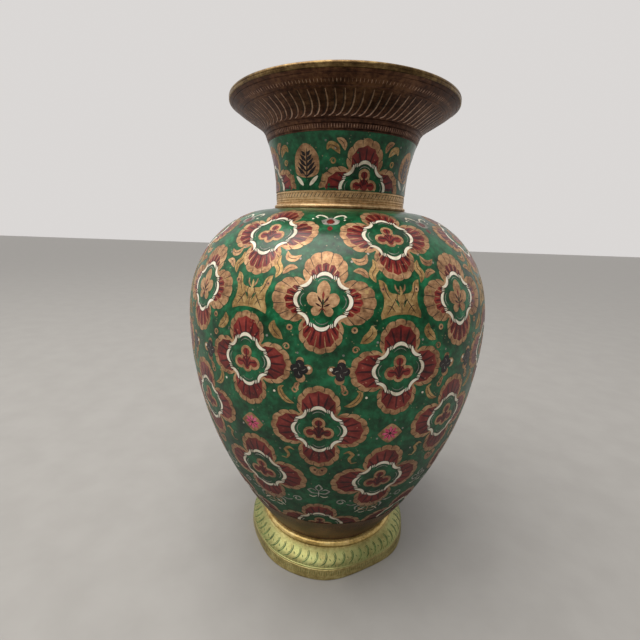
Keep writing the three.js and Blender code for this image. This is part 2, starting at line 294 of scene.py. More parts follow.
def lathe_tree():
    bench, given, names = new_tree("turned on the lathe", {"Steps": "Int", "Material": "Material"})
    stations = bench.node("GeometryNodeAttributeDomainSize", {}, {0: given["Shape"]})
    grid = bench.node("GeometryNodeMeshGrid", {},
                      {"Vertices X": given["Steps"] + 1, "Vertices Y": stations + 1})
    index = bench.node("GeometryNodeInputIndex")
    column = bench.maths("FLOOR", (index + 0.5) / (stations + 1))
    row = (index - column * (stations + 1)) % stations
    place = bench.node("GeometryNodeInputPosition")
    found = bench.node("GeometryNodeSampleIndex", {"data_type": "FLOAT_VECTOR"},
                       {0: given["Shape"], 1: place, "Index": row + 0.25})
    radius, _, height = bench.split(found)
    spot = bench.round_axis(radius, column / given["Steps"] * math.tau, height)
    moved = bench.node("GeometryNodeSetPosition", {}, {"Geometry": grid, "Position": spot})
    end_tree(bench, bench.node("GeometryNodeMergeByDistance", {},
                               {"Geometry": moved, "Distance": TOUCHING}), given["Material"])
    return bench.tree, names


LATHE = lathe_tree()


def run_tree(tool, title, mesh, settings):
    """Runs a tree on a mesh and returns the result as a plain mesh, with its outside facing out."""
    tree, names = tool
    worker = bpy.data.objects.new(title, mesh)
    bpy.context.scene.collection.objects.link(worker)
    modifier = worker.modifiers.new(title, "NODES")
    modifier.node_group = tree
    for name, value in settings.items():
        modifier[names[name]] = value
    bpy.context.view_layer.update()
    made = bpy.data.meshes.new_from_object(worker.evaluated_get(bpy.context.evaluated_depsgraph_get()))
    bpy.data.objects.remove(worker)
    return made


def tidied(mesh, smooth=math.radians(32)):
    """Recalculates the normals and leaves only real corners sharp."""
    work = bmesh.new()
    work.from_mesh(mesh)
    bmesh.ops.recalc_face_normals(work, faces=work.faces)
    work.to_mesh(mesh)
    work.free()
    mesh.shade_smooth()
    mesh.set_sharp_from_angle(angle=smooth)
    return mesh


# %% Stand a piece in the scene
def stand(title, mesh, slot, *nodes):
    """Puts a finished mesh in the scene as a piece of the vase."""
    piece = bpy.data.objects.new(title, mesh)
    bpy.context.scene.collection.objects.link(piece)
    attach(piece, "root")
    if nodes:
        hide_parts(*nodes)
    print(f"{title}: {len(mesh.polygons)} faces")
    return piece


# %% [markdown]
# ## Finishes
# Nothing on an old lac-filled vase is one flat colour: the brass is scratched and tarnished unevenly, and
# the lac is blotched, chipped and polished through in spots. Each finish below is a Principled shader fed
# by a few noise patterns in object space, at the size the wear has on the real thing: centimetres for
# stains, millimetres for specks, and fine rings round the axis, because everything was polished while it
# turned.

# %% A finish with its usual patterns
class Finish(Bench):
    """A material on the bench, with the patterns most finishes need."""

    def __init__(self, title):
        self.material = bpy.data.materials.new(title)
        self.material.use_nodes = True
        super().__init__(self.material.node_tree)
        self.tree.nodes.clear()
        self.place = self.node("ShaderNodeTexCoord", out=3)

    def stretched(self, x, y, z):
        return self.node("ShaderNodeVectorMath", {"operation": "MULTIPLY"}, {0: self.place, 1: (x, y, z)})

    def noise(self, size, detail=3, rough=0.55, place=None):
        """Cloudy pattern with lumps of about this size in mm."""
        return self.node("ShaderNodeTexNoise", {}, {"Vector": place or self.place, "Scale": 1 / (size * MM),
                                                    "Detail": detail, "Roughness": rough})

    def cells(self, size):
        """Distance to scattered points that stand about this many mm apart."""
        return self.node("ShaderNodeTexVoronoi", {}, {"Vector": self.place, "Scale": 1 / (size * MM)})

    def rings(self, pitch):
        """Fine polishing rings round the axis, a little broken."""
        return self.noise(pitch, 2, 0.6, self.stretched(0.06, 0.06, 1))

    def height(self):
        """How high above the floor, in metres."""
        return self.split(self.place)[2]

    def painted_low_shade(self, low=50, high=165):
        """1 low on the vase and 0 at the belly, in patches: painted shade that darkens the lower body, as if
        less light reached it.
        """
        low_down = 1 - (self.height() + self.noise(20, 3) * 0.02 - 0.01).above(low * MM, high * MM)
        return low_down * (self.noise(9, 3) * 0.5 + 0.75)

    def ramp(self, factor, *stops):
        return self.node("ShaderNodeValToRGB", {"stops": stops}, {"Fac": factor})

    def mixed(self, factor, under, over):
        return self.node("ShaderNodeMix", {"data_type": "RGBA"}, {0: factor, 6: under, 7: over}, out=2)

    def done(self, colour, roughness, metallic=0.0, height=None, depth=0.05, coat=None, specular=0.5,
             coat_roughness=0.1):
        """Ends in a Principled shader. Height is a 0 to 1 pattern, and depth its relief in mm."""
        sockets = {"Base Color": colour, "Roughness": roughness, "Metallic": metallic,
                   "Specular IOR Level": specular}
        if coat is not None:
            sockets.update({"Coat Weight": coat, "Coat Roughness": coat_roughness})
        if height is not None:
            relief = {"Height": height, "Distance": depth * MM, "Strength": 1.0}
            sockets["Normal"] = self.node("ShaderNodeBump", {}, relief)
        shader = self.node("ShaderNodeBsdfPrincipled", {}, sockets)
        self.node("ShaderNodeOutputMaterial", {}, {"Surface": shader})
        return self.material


# %% Lac and brass
def lac(title, deep, middle, bright, worn=(0.34, 0.27, 0.15), wear=0.5):
    """Coloured lac: cloudy, glossy, with pin specks and rubbed spots where the metal shows."""
    f = Finish(title)
    cloud = f.noise(11, 4, 0.6) * 0.6 + f.noise(2.6, 3) * 0.4
    colour = f.ramp(cloud, (0.36, deep), (0.5, middle), (0.66, bright))
    rubbed = f.noise(1.3, 3, 0.65).above(0.66, 0.74) * f.noise(15, 2).above(0.42, 0.62)
    specks = (1 - f.cells(2.1).above(0.10, 0.2)) * f.noise(7, 2).above(0.52, 0.6)
    colour = f.mixed(rubbed * wear, colour, (*worn, 1))
    colour = f.mixed(specks * wear, colour, (worn[0] * 1.5, worn[1] * 1.5, worn[2] * 1.5, 1))
    # Painted shade: the lac is darkened towards the foot in patches, with a rougher, duller coat there.
    painted_low_shade = f.painted_low_shade()
    colour = f.mixed(painted_low_shade * 0.5, colour, (deep[0] * 0.6 + 0.002, deep[1] * 0.6 + 0.001, deep[2] * 0.6, 1))
    dull = f.noise(5, 3)
    relief = f.noise(1.6, 3) * 0.6 + f.rings(0.5) * 0.25 - rubbed * 0.4
    return f.done(colour, dull * 0.3 + 0.2 + painted_low_shade * 0.3, 0.0, relief, 0.055,
                  coat=0.3 - rubbed * 0.1 - painted_low_shade * 0.2, specular=0.2, coat_roughness=0.14)


def brass(title, dark, middle, bright, rough=0.36, shine=0.85, stains=14, stain=0.5, depth=0.03,
          with_painted_low_shade=False, wash=None):
    """Brass polished on the lathe and handled for years: rings, tarnish and pits.

    A wash is a tint rubbed into a chased band: its lowest and highest height in mm, and its colour.
    """
    f = Finish(title)
    tarnish = f.noise(stains, 5, 0.6)
    fine = f.noise(1.8, 3, 0.6)
    rings = f.rings(0.45)
    colour = f.ramp(tarnish * 0.45 + fine * 0.4 + rings * 0.15, (0.40, dark), (0.5, middle), (0.60, bright))
    pits = (1 - f.cells(1.7).above(0.08, 0.17)) * f.noise(6, 2).above(0.5, 0.62)
    colour = f.mixed(pits * stain, colour, (dark[0] * 0.4, dark[1] * 0.4, dark[2] * 0.4, 1))
    if wash:
        low, high, tint = wash
        height, soft = f.height() / MM, 0.8
        band = height.above(low - soft, low + soft) * (1 - height.above(high - soft, high + soft))
        colour = f.mixed(band * (f.noise(6, 3) * 1.2 - 0.1), colour, (*tint, 1))
    # Painted shade: the brass is darkened towards the foot, in patches.
    if with_painted_low_shade:
        colour = f.mixed(f.painted_low_shade() * 0.5, colour, (dark[0] * 0.35, dark[1] * 0.3, dark[2] * 0.25, 1))
    relief = rings * 0.5 + fine * 0.4 - pits * 0.5
    return f.done(colour, fine * 0.22 + rings * 0.1 + (rough - 0.16), shine - tarnish * 0.25, relief, depth)


# %% The finishes of this vase
GREEN = lac("green_lac", (0.0018, 0.022, 0.007), (0.005, 0.074, 0.026), (0.014, 0.18, 0.072))
RED = lac("red_lac", (0.066, 0.006, 0.005), (0.172, 0.015, 0.012), (0.29, 0.045, 0.034),
          worn=(0.38, 0.20, 0.12), wear=0.6)
WHITE = lac("white_lac", (0.54, 0.47, 0.35), (0.80, 0.74, 0.59), (0.90, 0.86, 0.74),
            worn=(0.30, 0.22, 0.14), wear=0.35)
BLACK = lac("black_lac", (0.004, 0.004, 0.004), (0.012, 0.009, 0.010), (0.03, 0.022, 0.022), wear=0.2)
PINK = lac("pink_lac", (0.42, 0.03, 0.09), (0.62, 0.06, 0.16), (0.80, 0.20, 0.32), wear=0.3)
WINE = lac("wine_lac", (0.018, 0.002, 0.003), (0.045, 0.004, 0.006), (0.085, 0.008, 0.010), wear=0.25)
# The pattern brass and the golden brass carry painted shade low on the body.
LINE = brass("pattern_brass", (0.20, 0.100, 0.048), (0.41, 0.225, 0.108), (0.60, 0.375, 0.20), rough=0.47,
             shine=0.6, stains=9, with_painted_low_shade=True)
GOLD = brass("golden_brass", (0.19, 0.105, 0.035), (0.40, 0.245, 0.090), (0.60, 0.41, 0.18), rough=0.45,
             shine=0.65, stains=7, with_painted_low_shade=True)
PATINA = brass("dark_brass", (0.030, 0.010, 0.005), (0.084, 0.033, 0.017), (0.18, 0.085, 0.042), rough=0.43,
               shine=0.85, stains=16)
INK = brass("engraved_line", (0.012, 0.006, 0.004), (0.03, 0.016, 0.010), (0.07, 0.04, 0.025), rough=0.6,
            shine=0.4, stains=6)
GREY = brass("grey_wash", (0.10, 0.10, 0.085), (0.23, 0.22, 0.19), (0.42, 0.40, 0.34), rough=0.5, shine=0.4,
             stains=5)
LEAFY = brass("engraved_rib", (0.035, 0.065, 0.012), (0.085, 0.14, 0.035), (0.20, 0.26, 0.08), rough=0.5,
              shine=0.35, stains=6)
BRIGHT = brass("chased_line", (0.20, 0.10, 0.065), (0.42, 0.25, 0.175), (0.62, 0.42, 0.32), rough=0.38,
               shine=0.85, stains=6)
COLLAR = brass("collar_brass", (0.38, 0.22, 0.10), (0.66, 0.43, 0.21), (0.82, 0.60, 0.33), rough=0.42,
               shine=0.75)
LIP = brass("lip_brass", (0.09, 0.05, 0.018), (0.19, 0.115, 0.042), (0.36, 0.25, 0.10), rough=0.36,
            shine=0.9, stains=10)
FOOT = brass("foot_brass", (0.25, 0.19, 0.065), (0.40, 0.32, 0.12), (0.54, 0.46, 0.20), rough=0.42,
             shine=0.8, stains=12, wash=(7.6, 15.4, (0.31, 0.37, 0.14)))
TORUS = brass("foot_ring_brass", (0.50, 0.33, 0.10), (0.78, 0.56, 0.2), (0.92, 0.72, 0.32), rough=0.42,
              shine=0.75, stains=8)
INNER = brass("inner_brass", (0.09, 0.055, 0.025), (0.19, 0.125, 0.06), (0.30, 0.21, 0.11), rough=0.58,
              shine=0.7, stains=24)
SOLDER = brass("solder", (0.16, 0.15, 0.13), (0.30, 0.28, 0.25), (0.42, 0.40, 0.36), rough=0.5, shine=0.8,
               stains=6, depth=0.12)
print("finishes:", len(bpy.data.materials))

# %% [markdown]
# ## The turned parts
# Each part keeps its CAD section and is turned in 192 steps. The lathe also left marks that are too fine
# for the CAD: lines scored round the flare, the collar and the foot. They are cut into the section before
# it is turned, as small V grooves. The lac is drawn back by an eighth of a millimetre or so, which leaves
# room for the pattern that is laid on it. The foot is thin sheet and has been knocked, so it is pushed in a
# little in three places.

# %% Scored lines and drawn-back lac
def scored(points, heights, width=0.5, depth=0.22):
    """Cuts V grooves round the outside of a section at these heights in mm."""
    points = list(points)
    for height in heights:
        z, best = height * MM, None
        for i, a in enumerate(points):
            b = points[(i + 1) % len(points)]
            if min(a[1], b[1]) <= z < max(a[1], b[1]):
                r = a[0] + (b[0] - a[0]) * (z - a[1]) / (b[1] - a[1])
                if best is None or r > best[0]:
                    best = (r, i, a, b)
        r, i, a, b = best
        long = math.dist(a, b)
        along = ((b[0] - a[0]) / long, (b[1] - a[1]) / long)
        inward = (-abs(along[1]), along[0] * math.copysign(1, along[1]))
        half = width / 2 * MM
        cut = [(r - along[0] * half, z - along[1] * half),
               (r + inward[0] * depth * MM, z + inward[1] * depth * MM),
               (r + along[0] * half, z + along[1] * half)]
        points[i + 1:i + 1] = cut
    return points


def drawn_back(section, depth):
    """Moves the outside of a thin shell's section inward by a depth in mm."""
    line = outer_line(section)
    moved = {}
    for i, p in enumerate(line):
        a, b = line[max(0, i - 1)], line[min(len(line) - 1, i + 1)]
        long = math.dist(a, b)
        moved[p] = (p[0] - (b[1] - a[1]) / long * depth * MM, p[1] + (b[0] - a[0]) / long * depth * MM)
    return [moved.get(p, p) for p in section]


# %% The knocked foot
DENTS = (
    # direction in degrees, half width in degrees, depth in mm at the standing edge
    (30, 34, 3.4),
    (-62, 30, 1.6),
    (150, 26, 1.2),
)
STIFF_ABOVE = 16.5 * MM     # the foot's neck is too stiff to be pushed in


def dent(point):
    """Pushes a point of the foot inward where the sheet has been knocked."""
    x, y, z = point
    turn = math.degrees(math.atan2(x, -y))
    push = 0.0
    for at, half, depth in DENTS:
        aside = min(abs(math.remainder(turn - at, 360)) / half, 1)
        push += depth * MM * math.cos(aside * math.pi / 2) ** 2
    share = max(0.0, 1 - z / STIFF_ABOVE) ** 0.8
    scale = 1 - push * share / math.hypot(x, y)
    return (x * scale, y * scale, z)


def knocked(mesh):
    for vertex in mesh.vertices:
        vertex.co = dent(vertex.co)
    return mesh


# %% Turn every part
TURN_STEPS = 192


def turned(name, material, slot, scores=(), step=2.2, foot=False, lac_back=0.0):
    """Turns a CAD part again. Scores are heights in mm, and step is the longest facet in mm."""
    section = SECTIONS[name]
    if lac_back:
        section = drawn_back(section, lac_back)
        SECTIONS[name] = section
    wide = max(r for r, _ in section)
    low, high = min(z for _, z in section), max(z for _, z in section)
    hollow = section[0][0] > TOUCHING
    kept = [(min(r, wide), min(max(z, low), high)) for r, z in eased(section, step * MM, closed=hollow)]
    points = scored(kept, scores)
    ring = bpy.data.meshes.new(name + "_section")
    ring.from_pydata([(r, 0, z) for r, z in points], [], [])
    mesh = tidied(run_tree(LATHE, name + "_turning", ring, {"Steps": TURN_STEPS, "Material": material}))
    return stand(name + "_turned", knocked(mesh) if foot else mesh, slot, name)


TOP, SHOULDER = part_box("lip_ring")[1].z / MM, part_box("neck_collar")[0].z / MM
turned("lip_ring", LIP, "bright_brass", (TOP - 1.45,), 1.0)
turned("mouth_flare", PATINA, "dark_brass", (TOP - 17.2, TOP - 7.6, TOP - 4.0), 1.4)
turned("flare_joint_lap", INNER, "inner_brass")
turned("neck_sleeve", PATINA, "dark_brass", (TOP - 21.9, TOP - 19.2), 1.6)
turned("neck_enamel", GREEN, "green_lac", lac_back=0.12)
turned("neck_collar", COLLAR, "bright_brass", (SHOULDER + 5.2, SHOULDER + 7.6), 0.8)
turned("neck_solder", SOLDER, "spelter")
turned("shoulder_shell", INNER, "inner_brass")
turned("belly_shell", PATINA, "dark_brass", (21.4,))
turned("body_enamel", GREEN, "green_lac", lac_back=0.15, step=2.6)
turned("body_joint_lap", INNER, "inner_brass")
turned("base_plate", INNER, "inner_brass")
turned("foot_collar", TORUS, "bright_brass", foot=True, step=0.5)
turned("foot_skirt", FOOT, "bright_brass", (7.3,), foot=True, step=1.2)
turned("foot_solder", SOLDER, "spelter")

# %% [markdown]
# ## Laying a pattern on the vase
# The engraver scribed the pattern on the turned surface, so every motif follows it. Here a motif is first
# drawn flat, as thin closed slabs: x goes round the vase, y goes up it, and z is the lift above the lac.
# One Geometry Nodes tree then lays it: it puts copies at equal angles, makes them real, and sends every
# point to the place on the surface line at its own height, turned by its own distance round. Copies get a
# slight turn from a fixed seed, since the real ones were cut by hand. Motifs that belong together get the
# same seed, so they turn together.

# %% Laying tree
def laying_tree():
    kinds = {"Line": "Object", "Count": "Int", "Seed": "Int", "Material": "Material"}
    kinds |= {"First": "Float", "Height": "Float", "Shake": "Float"}
    bench, given, names = new_tree("pattern laid on the vase", kinds)
    index = bench.node("GeometryNodeInputIndex")
    points = bench.node("GeometryNodePoints", {}, {"Count": given["Count"]})
    angle = given["First"] + index * math.tau / given["Count"]
    marked = bench.node("GeometryNodeStoreNamedAttribute", {"data_type": "FLOAT"},
                        {"Geometry": points, "Name": "turn", "Value": angle})
    shake = bench.node("FunctionNodeRandomValue", {"data_type": "FLOAT"},
                       {2: -1.0, 3: 1.0, "Seed": given["Seed"]}, out=1)
    leaning = bench.node("ShaderNodeCombineXYZ", {}, {2: shake * given["Shake"]})
    copies = bench.node("GeometryNodeInstanceOnPoints", {},
                        {"Points": marked, "Instance": given["Shape"], "Rotation": leaning})
    flat = bench.node("GeometryNodeRealizeInstances", {}, {0: copies})
    across, along, lift = bench.split(bench.node("GeometryNodeInputPosition"))
    line = bench.node("GeometryNodeObjectInfo", {}, {"Object": given["Line"]}, out="Geometry")
    reading = {"mode": "LENGTH", "use_all_curves": True}
    place = bench.node("GeometryNodeSampleCurve", reading,
                       {"Curves": line, "Length": given["Height"] + along}, out="Position")
    radius, _, height = bench.split(place)
    uphill_r, _, uphill_z = bench.split(Wire(bench, place.socket.node.outputs["Tangent"]))
    stored = bench.node("GeometryNodeInputNamedAttribute", {"data_type": "FLOAT"}, {"Name": "turn"})
    turn = stored + across / radius
    laid = bench.round_axis(radius + uphill_z * lift, turn, height - uphill_r * lift)
    moved = bench.node("GeometryNodeSetPosition", {}, {"Geometry": flat, "Position": laid})
    end_tree(bench, bench.node("GeometryNodeRemoveAttribute", {}, {"Geometry": moved, "Name": "turn"}),
             given["Material"])
    return bench.tree, names


LAYING = laying_tree()


# %% Surface lines
class Line:
    """The outside in section, as a curve that patterns are laid on. Lengths along it are in mm."""

    def __init__(self, title, points):
        self.points = eased(points, 1.0 * MM, closed=False)
        curve = bpy.data.curves.new(title, "CURVE")
        curve.dimensions = "3D"
        spline = curve.splines.new("POLY")
        spline.points.add(len(self.points) - 1)
        for point, (r, z) in zip(spline.points, self.points):
            point.co = (r, 0, z, 1)
        self.object = bpy.data.objects.new(title, curve)
        bpy.context.scene.collection.objects.link(self.object)

    def at_height(self, z):
        """How far up the line, in mm, a height in mm is reached."""
        run = 0.0
        for a, b in zip(self.points, self.points[1:]):
            if a[1] <= z * MM < b[1]:
                return (run + math.dist(a, b) * (z * MM - a[1]) / (b[1] - a[1])) / MM
            run += math.dist(a, b)
        return run / MM


BELOW_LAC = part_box("body_enamel")[0].z - 0.4 * MM
ABOVE_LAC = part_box("neck_enamel")[1].z
BELLY = 80 * MM

low_belly = [p for p in outer_line(SECTIONS["belly_shell"]) if p[1] < BELLY]
body_line = Line("body_line",
                 [p for p in low_belly if p[1] < BELOW_LAC] + outer_line(SECTIONS["body_enamel"]))
neck_line = Line("neck_line", outer_line(SECTIONS["neck_enamel"]))
collar_line = Line("collar_line", outer_line(SECTIONS["neck_collar"]))
sleeve_line = Line("sleeve_line", [p for p in outer_line(SECTIONS["neck_sleeve"]) if p[1] > ABOVE_LAC])
flare_line = Line("flare_line", outer_line(SECTIONS["mouth_flare"]))
skirt_line = Line("skirt_line", outer_line(SECTIONS["foot_skirt"]))
base_line = Line("base_line", low_belly)
print("line up the body:", round(body_line.at_height(2 * TOP), 1), "mm")

# %% [markdown]
# ## Drawing flat
# Two tools draw everything. A stroke follows a path with a width that can swell and taper, like a graver's
# cut or a crescent of white lac. A region fills outlines by Delaunay triangulation, with extra points
# inside, so that no facet is longer than about two millimetres and the slab follows the curve of the vase.
# A test decides which triangles stay, which makes "inside the fan but outside the ring" one line.

# %% Drawing tools
def arc(a, b, c, steps=8):
    """Points on the circle through three points."""
    (ax, ay), (bx, by), (cx, cy) = a, b, c
    d = 2 * (ax * (by - cy) + bx * (cy - ay) + cx * (ay - by))
    aa, bb, cc = ax * ax + ay * ay, bx * bx + by * by, cx * cx + cy * cy
    ux = (aa * (by - cy) + bb * (cy - ay) + cc * (ay - by)) / d
    uy = (aa * (cx - bx) + bb * (ax - cx) + cc * (bx - ax)) / d
    to_a, to_b, to_c = (math.atan2(y - uy, x - ux) for x, y in (a, b, c))
    turn = math.remainder(to_b - to_a, math.tau) + math.remainder(to_c - to_b, math.tau)
    r = math.dist((ux, uy), a)
    return [(ux + r * math.cos(to_a + turn * k / steps), uy + r * math.sin(to_a + turn * k / steps))
            for k in range(steps + 1)]


def circle(x, y, r, steps=20):
    return [(x + r * math.cos(math.tau * k / steps), y + r * math.sin(math.tau * k / steps))
            for k in range(steps)]


def smooth(points, step=1.2, closed=True):
    return eased(points, step, closed, corner=math.radians(75))


def within(x, y, outline):
    """Whether a point lies inside an outline."""
    hit = False
    for (ax, ay), (bx, by) in zip(outline, outline[1:] + outline[:1]):
        if (ay > y) != (by > y) and x < (bx - ax) * (y - ay) / (by - ay) + ax:
            hit = not hit
    return hit


SUNK = -0.25     # mm: how deep a slab's underside is sunk in the lac


class Stencil:
    """Flat artwork in mm, kept apart by finish."""

    def __init__(self):
        self.layers = {}

    def slab(self, finish, points, faces, lift):
        """A thin closed slab with its top at the lift and its underside sunk in the lac."""
        verts, made = self.layers.setdefault(finish, ([], []))
        base, n = len(verts), len(points)
        verts += [(x, y, lift) for x, y in points] + [(x, y, SUNK) for x, y in points]
        made += [tuple(base + i for i in face) for face in faces]
        made += [tuple(base + n + i for i in reversed(face)) for face in faces]
        edges = {(face[k], face[(k + 1) % len(face)]) for face in faces for k in range(len(face))}
        made += [(base + b, base + a, base + n + a, base + n + b) for a, b in edges if (b, a) not in edges]

    def region(self, finish, outlines, lift, inside=None, spacing=2.2):
        """Fills the triangles between some outlines that pass the inside test, or the first outline."""
        inside = inside or (lambda x, y: within(x, y, outlines[0]))
        points, edges = [], []
        for outline in outlines:
            edges += [(len(points) + k, len(points) + (k + 1) % len(outline)) for k in range(len(outline))]
            points += outline
        rim = list(points)
        xs, ys = [p[0] for p in rim], [p[1] for p in rim]
        for j in range(int((max(ys) - min(ys)) / spacing) + 1):
            for i in range(int((max(xs) - min(xs)) / spacing) + 2):
                x, y = min(xs) + (i + 0.5 * (j % 2)) * spacing, min(ys) + (j + 0.5) * spacing
                if inside(x, y) and all(math.dist((x, y), p) > 0.45 * spacing for p in rim):
                    points.append((x, y))
        spots, _, found, *_ = delaunay_2d_cdt([Vector(p) for p in points], edges, [], 0, 1e-5)
        kept = [f for f in found if inside(sum(spots[i][0] for i in f) / 3,
                                           sum(spots[i][1] for i in f) / 3)]
        used = sorted({i for f in kept for i in f})
        order = {i: k for k, i in enumerate(used)}
        self.slab(finish, [tuple(spots[i]) for i in used], [tuple(order[i] for i in f) for f in kept], lift)

    def stroke(self, finish, path, width, lift, ends=(0.35, 0.35)):
        """A line of this width in mm along a path, with its ends narrowed to these shares."""
        left, right = [], []
        for k, (x, y) in enumerate(path):
            (ax, ay), (bx, by) = path[max(0, k - 1)], path[min(len(path) - 1, k + 1)]
            long = math.dist((ax, ay), (bx, by))
            t = k / (len(path) - 1)
            swell = min(1, ends[0] + (1 - ends[0]) * math.sin(min(1, t * 2.6) * math.pi / 2),
                        ends[1] + (1 - ends[1]) * math.sin(min(1, (1 - t) * 2.6) * math.pi / 2))
            w = width / 2 * swell
            left.append((x - (by - ay) / long * w, y + (bx - ax) / long * w))
            right.append((x + (by - ay) / long * w, y - (bx - ax) / long * w))
        n = len(path)
        self.slab(finish, left + right, [(n + k, n + k + 1, k + 1, k) for k in range(n - 1)], lift)

    def add(self, other, x=0, y=0, turn=0, size=1.0):
        """Copies another stencil in at a place."""
        c, s = math.cos(math.radians(turn)) * size, math.sin(math.radians(turn)) * size
        for finish, (points, faces) in other.layers.items():
            verts, made = self.layers.setdefault(finish, ([], []))
            base = len(verts)
            verts += [(x + px * c - py * s, y + px * s + py * c, pz) for px, py, pz in points]
            made += [tuple(base + i for i in face) for face in faces]


# %% Laying a stencil
FINISHES = {"brass": LINE, "gold": GOLD, "red": RED, "wine": WINE, "white": WHITE, "black": BLACK,
            "green": GREEN, "pink": PINK, "ink": INK, "grey": GREY, "bright": BRIGHT, "leafy": LEAFY}
LAID = {}


def cut_below(mesh, y):
    """Cuts away the part of a flat slab below a line, and closes the cut."""
    work = bmesh.new()
    work.from_mesh(mesh)
    everything = [*work.verts, *work.edges, *work.faces]
    cut = bmesh.ops.bisect_plane(work, geom=everything, plane_co=(0, y, 0), plane_no=(0, 1, 0),
                                 clear_inner=True)
    rim = [part for part in cut["geom_cut"] if isinstance(part, bmesh.types.BMEdge)]
    bmesh.ops.holes_fill(work, edges=rim)
    work.to_mesh(mesh)
    work.free()


def lay(stencil, line, height, first, count, zone, shake=0.0, seed=0, above=None):
    """Lays copies of a stencil round the vase, at a height in mm up the line.

    The first stands at an angle in degrees. What would lie below the height "above" is cut away.
    """
    for finish, (verts, faces) in stencil.layers.items():
        flat = bpy.data.meshes.new("flat")
        flat.from_pydata([(x * MM, y * MM, z * MM) for x, y, z in verts], [], faces)
        if above is not None:
            cut_below(flat, (above - height) * MM)
        if not flat.vertices:
            continue
        settings = {"Line": line.object, "Height": height * MM, "Count": count, "Seed": seed}
        settings |= {"First": math.radians(first), "Shake": math.radians(shake)}
        settings["Material"] = FINISHES[finish]
        LAID.setdefault((zone, finish), []).append(run_tree(LAYING, "laying", flat, settings))


def gather(zone, title, slots, change=None):
    """Joins what was laid in a zone into one piece for each finish."""
    for (where, finish), meshes in LAID.items():
        if where != zone:
            continue
        work = bmesh.new()
        for mesh in meshes:
            work.from_mesh(mesh)
        joined = bpy.data.meshes.new(title)
        work.to_mesh(joined)
        work.free()
        joined.materials.append(FINISHES[finish])
        joined.shade_smooth()
        joined.set_sharp_from_angle(angle=math.radians(40))
        stand(f"{title}_{finish}", change(joined) if change else joined, slots.get(finish, "green_lac"))


# %% [markdown]
# ## The medallion
# The main motif is a flower-like medallion: a wavy ring of eight white crescents with a green ground and a
# small flower inside, and four scalloped red fans outside with tan brass borders. It is drawn once in mm,
# from arcs and rays, with a few choices, because some rows have broad brass fans and others a trefoil in
# the middle.

# %% The white ring
def turned_path(path, degrees):
    c, s = math.cos(math.radians(degrees)), math.sin(math.radians(degrees))
    return [(x * c - y * s, x * s + y * c) for x, y in path]


CREST = arc((-3.5, 10.2), (0, 12.3), (3.5, 10.2))
CORNER = arc((6.0, 10.7), (7.2, 7.2), (10.7, 6.0))
RING = [p for k in range(4) for p in turned_path(CREST + CORNER, -90 * k)]


def grown(path, by):
    """A closed path pushed outward (or inward) from its centre by about so many mm."""
    return [(x * (1 + by / math.hypot(x, y)), y * (1 + by / math.hypot(x, y))) for x, y in path]


RING_EDGE = grown(RING, 0.75)


def white_ring():
    """Eight white crescents with dark edges, fine lines inside them, and a pair of ticks at each join."""
    ring = Stencil()
    for k in range(4):
        for path, width in ((CREST, 1.65), (CORNER, 1.5)):
            ring.stroke("ink", turned_path(path, -90 * k), width + 0.75, 0.045, (0.7, 0.7))
            ring.stroke("white", turned_path(path, -90 * k), width, 0.075, (0.3, 0.3))
        inner = turned_path(arc((-2.9, 8.6), (0, 10.1), (2.9, 8.6)), -90 * k)
        ring.stroke("grey", inner, 0.35, 0.06, (0.4, 0.4))
        for side in (-1, 1):
            for shift in (0, 0.75):
                tick = [(side * (4.1 + shift), 9.7 - shift * 0.2), (side * (4.3 + shift), 10.6),
                        (side * (4.1 + shift), 11.5 - shift * 0.3)]
                ring.stroke("white", turned_path(tick, -90 * k), 0.42, 0.06, (0.6, 0.6))
    return ring


print("ring outline:", len(RING), "points")


# %% The fans
FAN_MIDDLE, FAN_RADIUS, RAY_ORIGIN = 13.4, 10.0, 4.5
LOBE = 17.6     # degrees
CUSPS = [-62, -44.5, -26.5, -8.8, 8.8, 26.5, 44.5, 62]


def fan_reach(degrees):
    """How far from the ray origin the fan's circle is met in a direction."""
    w = FAN_MIDDLE - RAY_ORIGIN
    c = math.cos(math.radians(degrees))
    return w * c + math.sqrt((w * c) ** 2 - w * w + FAN_RADIUS ** 2)


def dense(path, step):
    """A closed path with extra points, so that no side is longer than the step."""
    out = []
    for a, b in zip(path, path[1:] + path[:1]):
        pieces = math.ceil(math.dist(a, b) / step)
        out += [(a[0] + (b[0] - a[0]) * k / pieces, a[1] + (b[1] - a[1]) * k / pieces)
                for k in range(pieces)]
    return out


def fan_point(degrees, reach):
    return (reach * math.sin(math.radians(degrees)), RAY_ORIGIN + reach * math.cos(math.radians(degrees)))


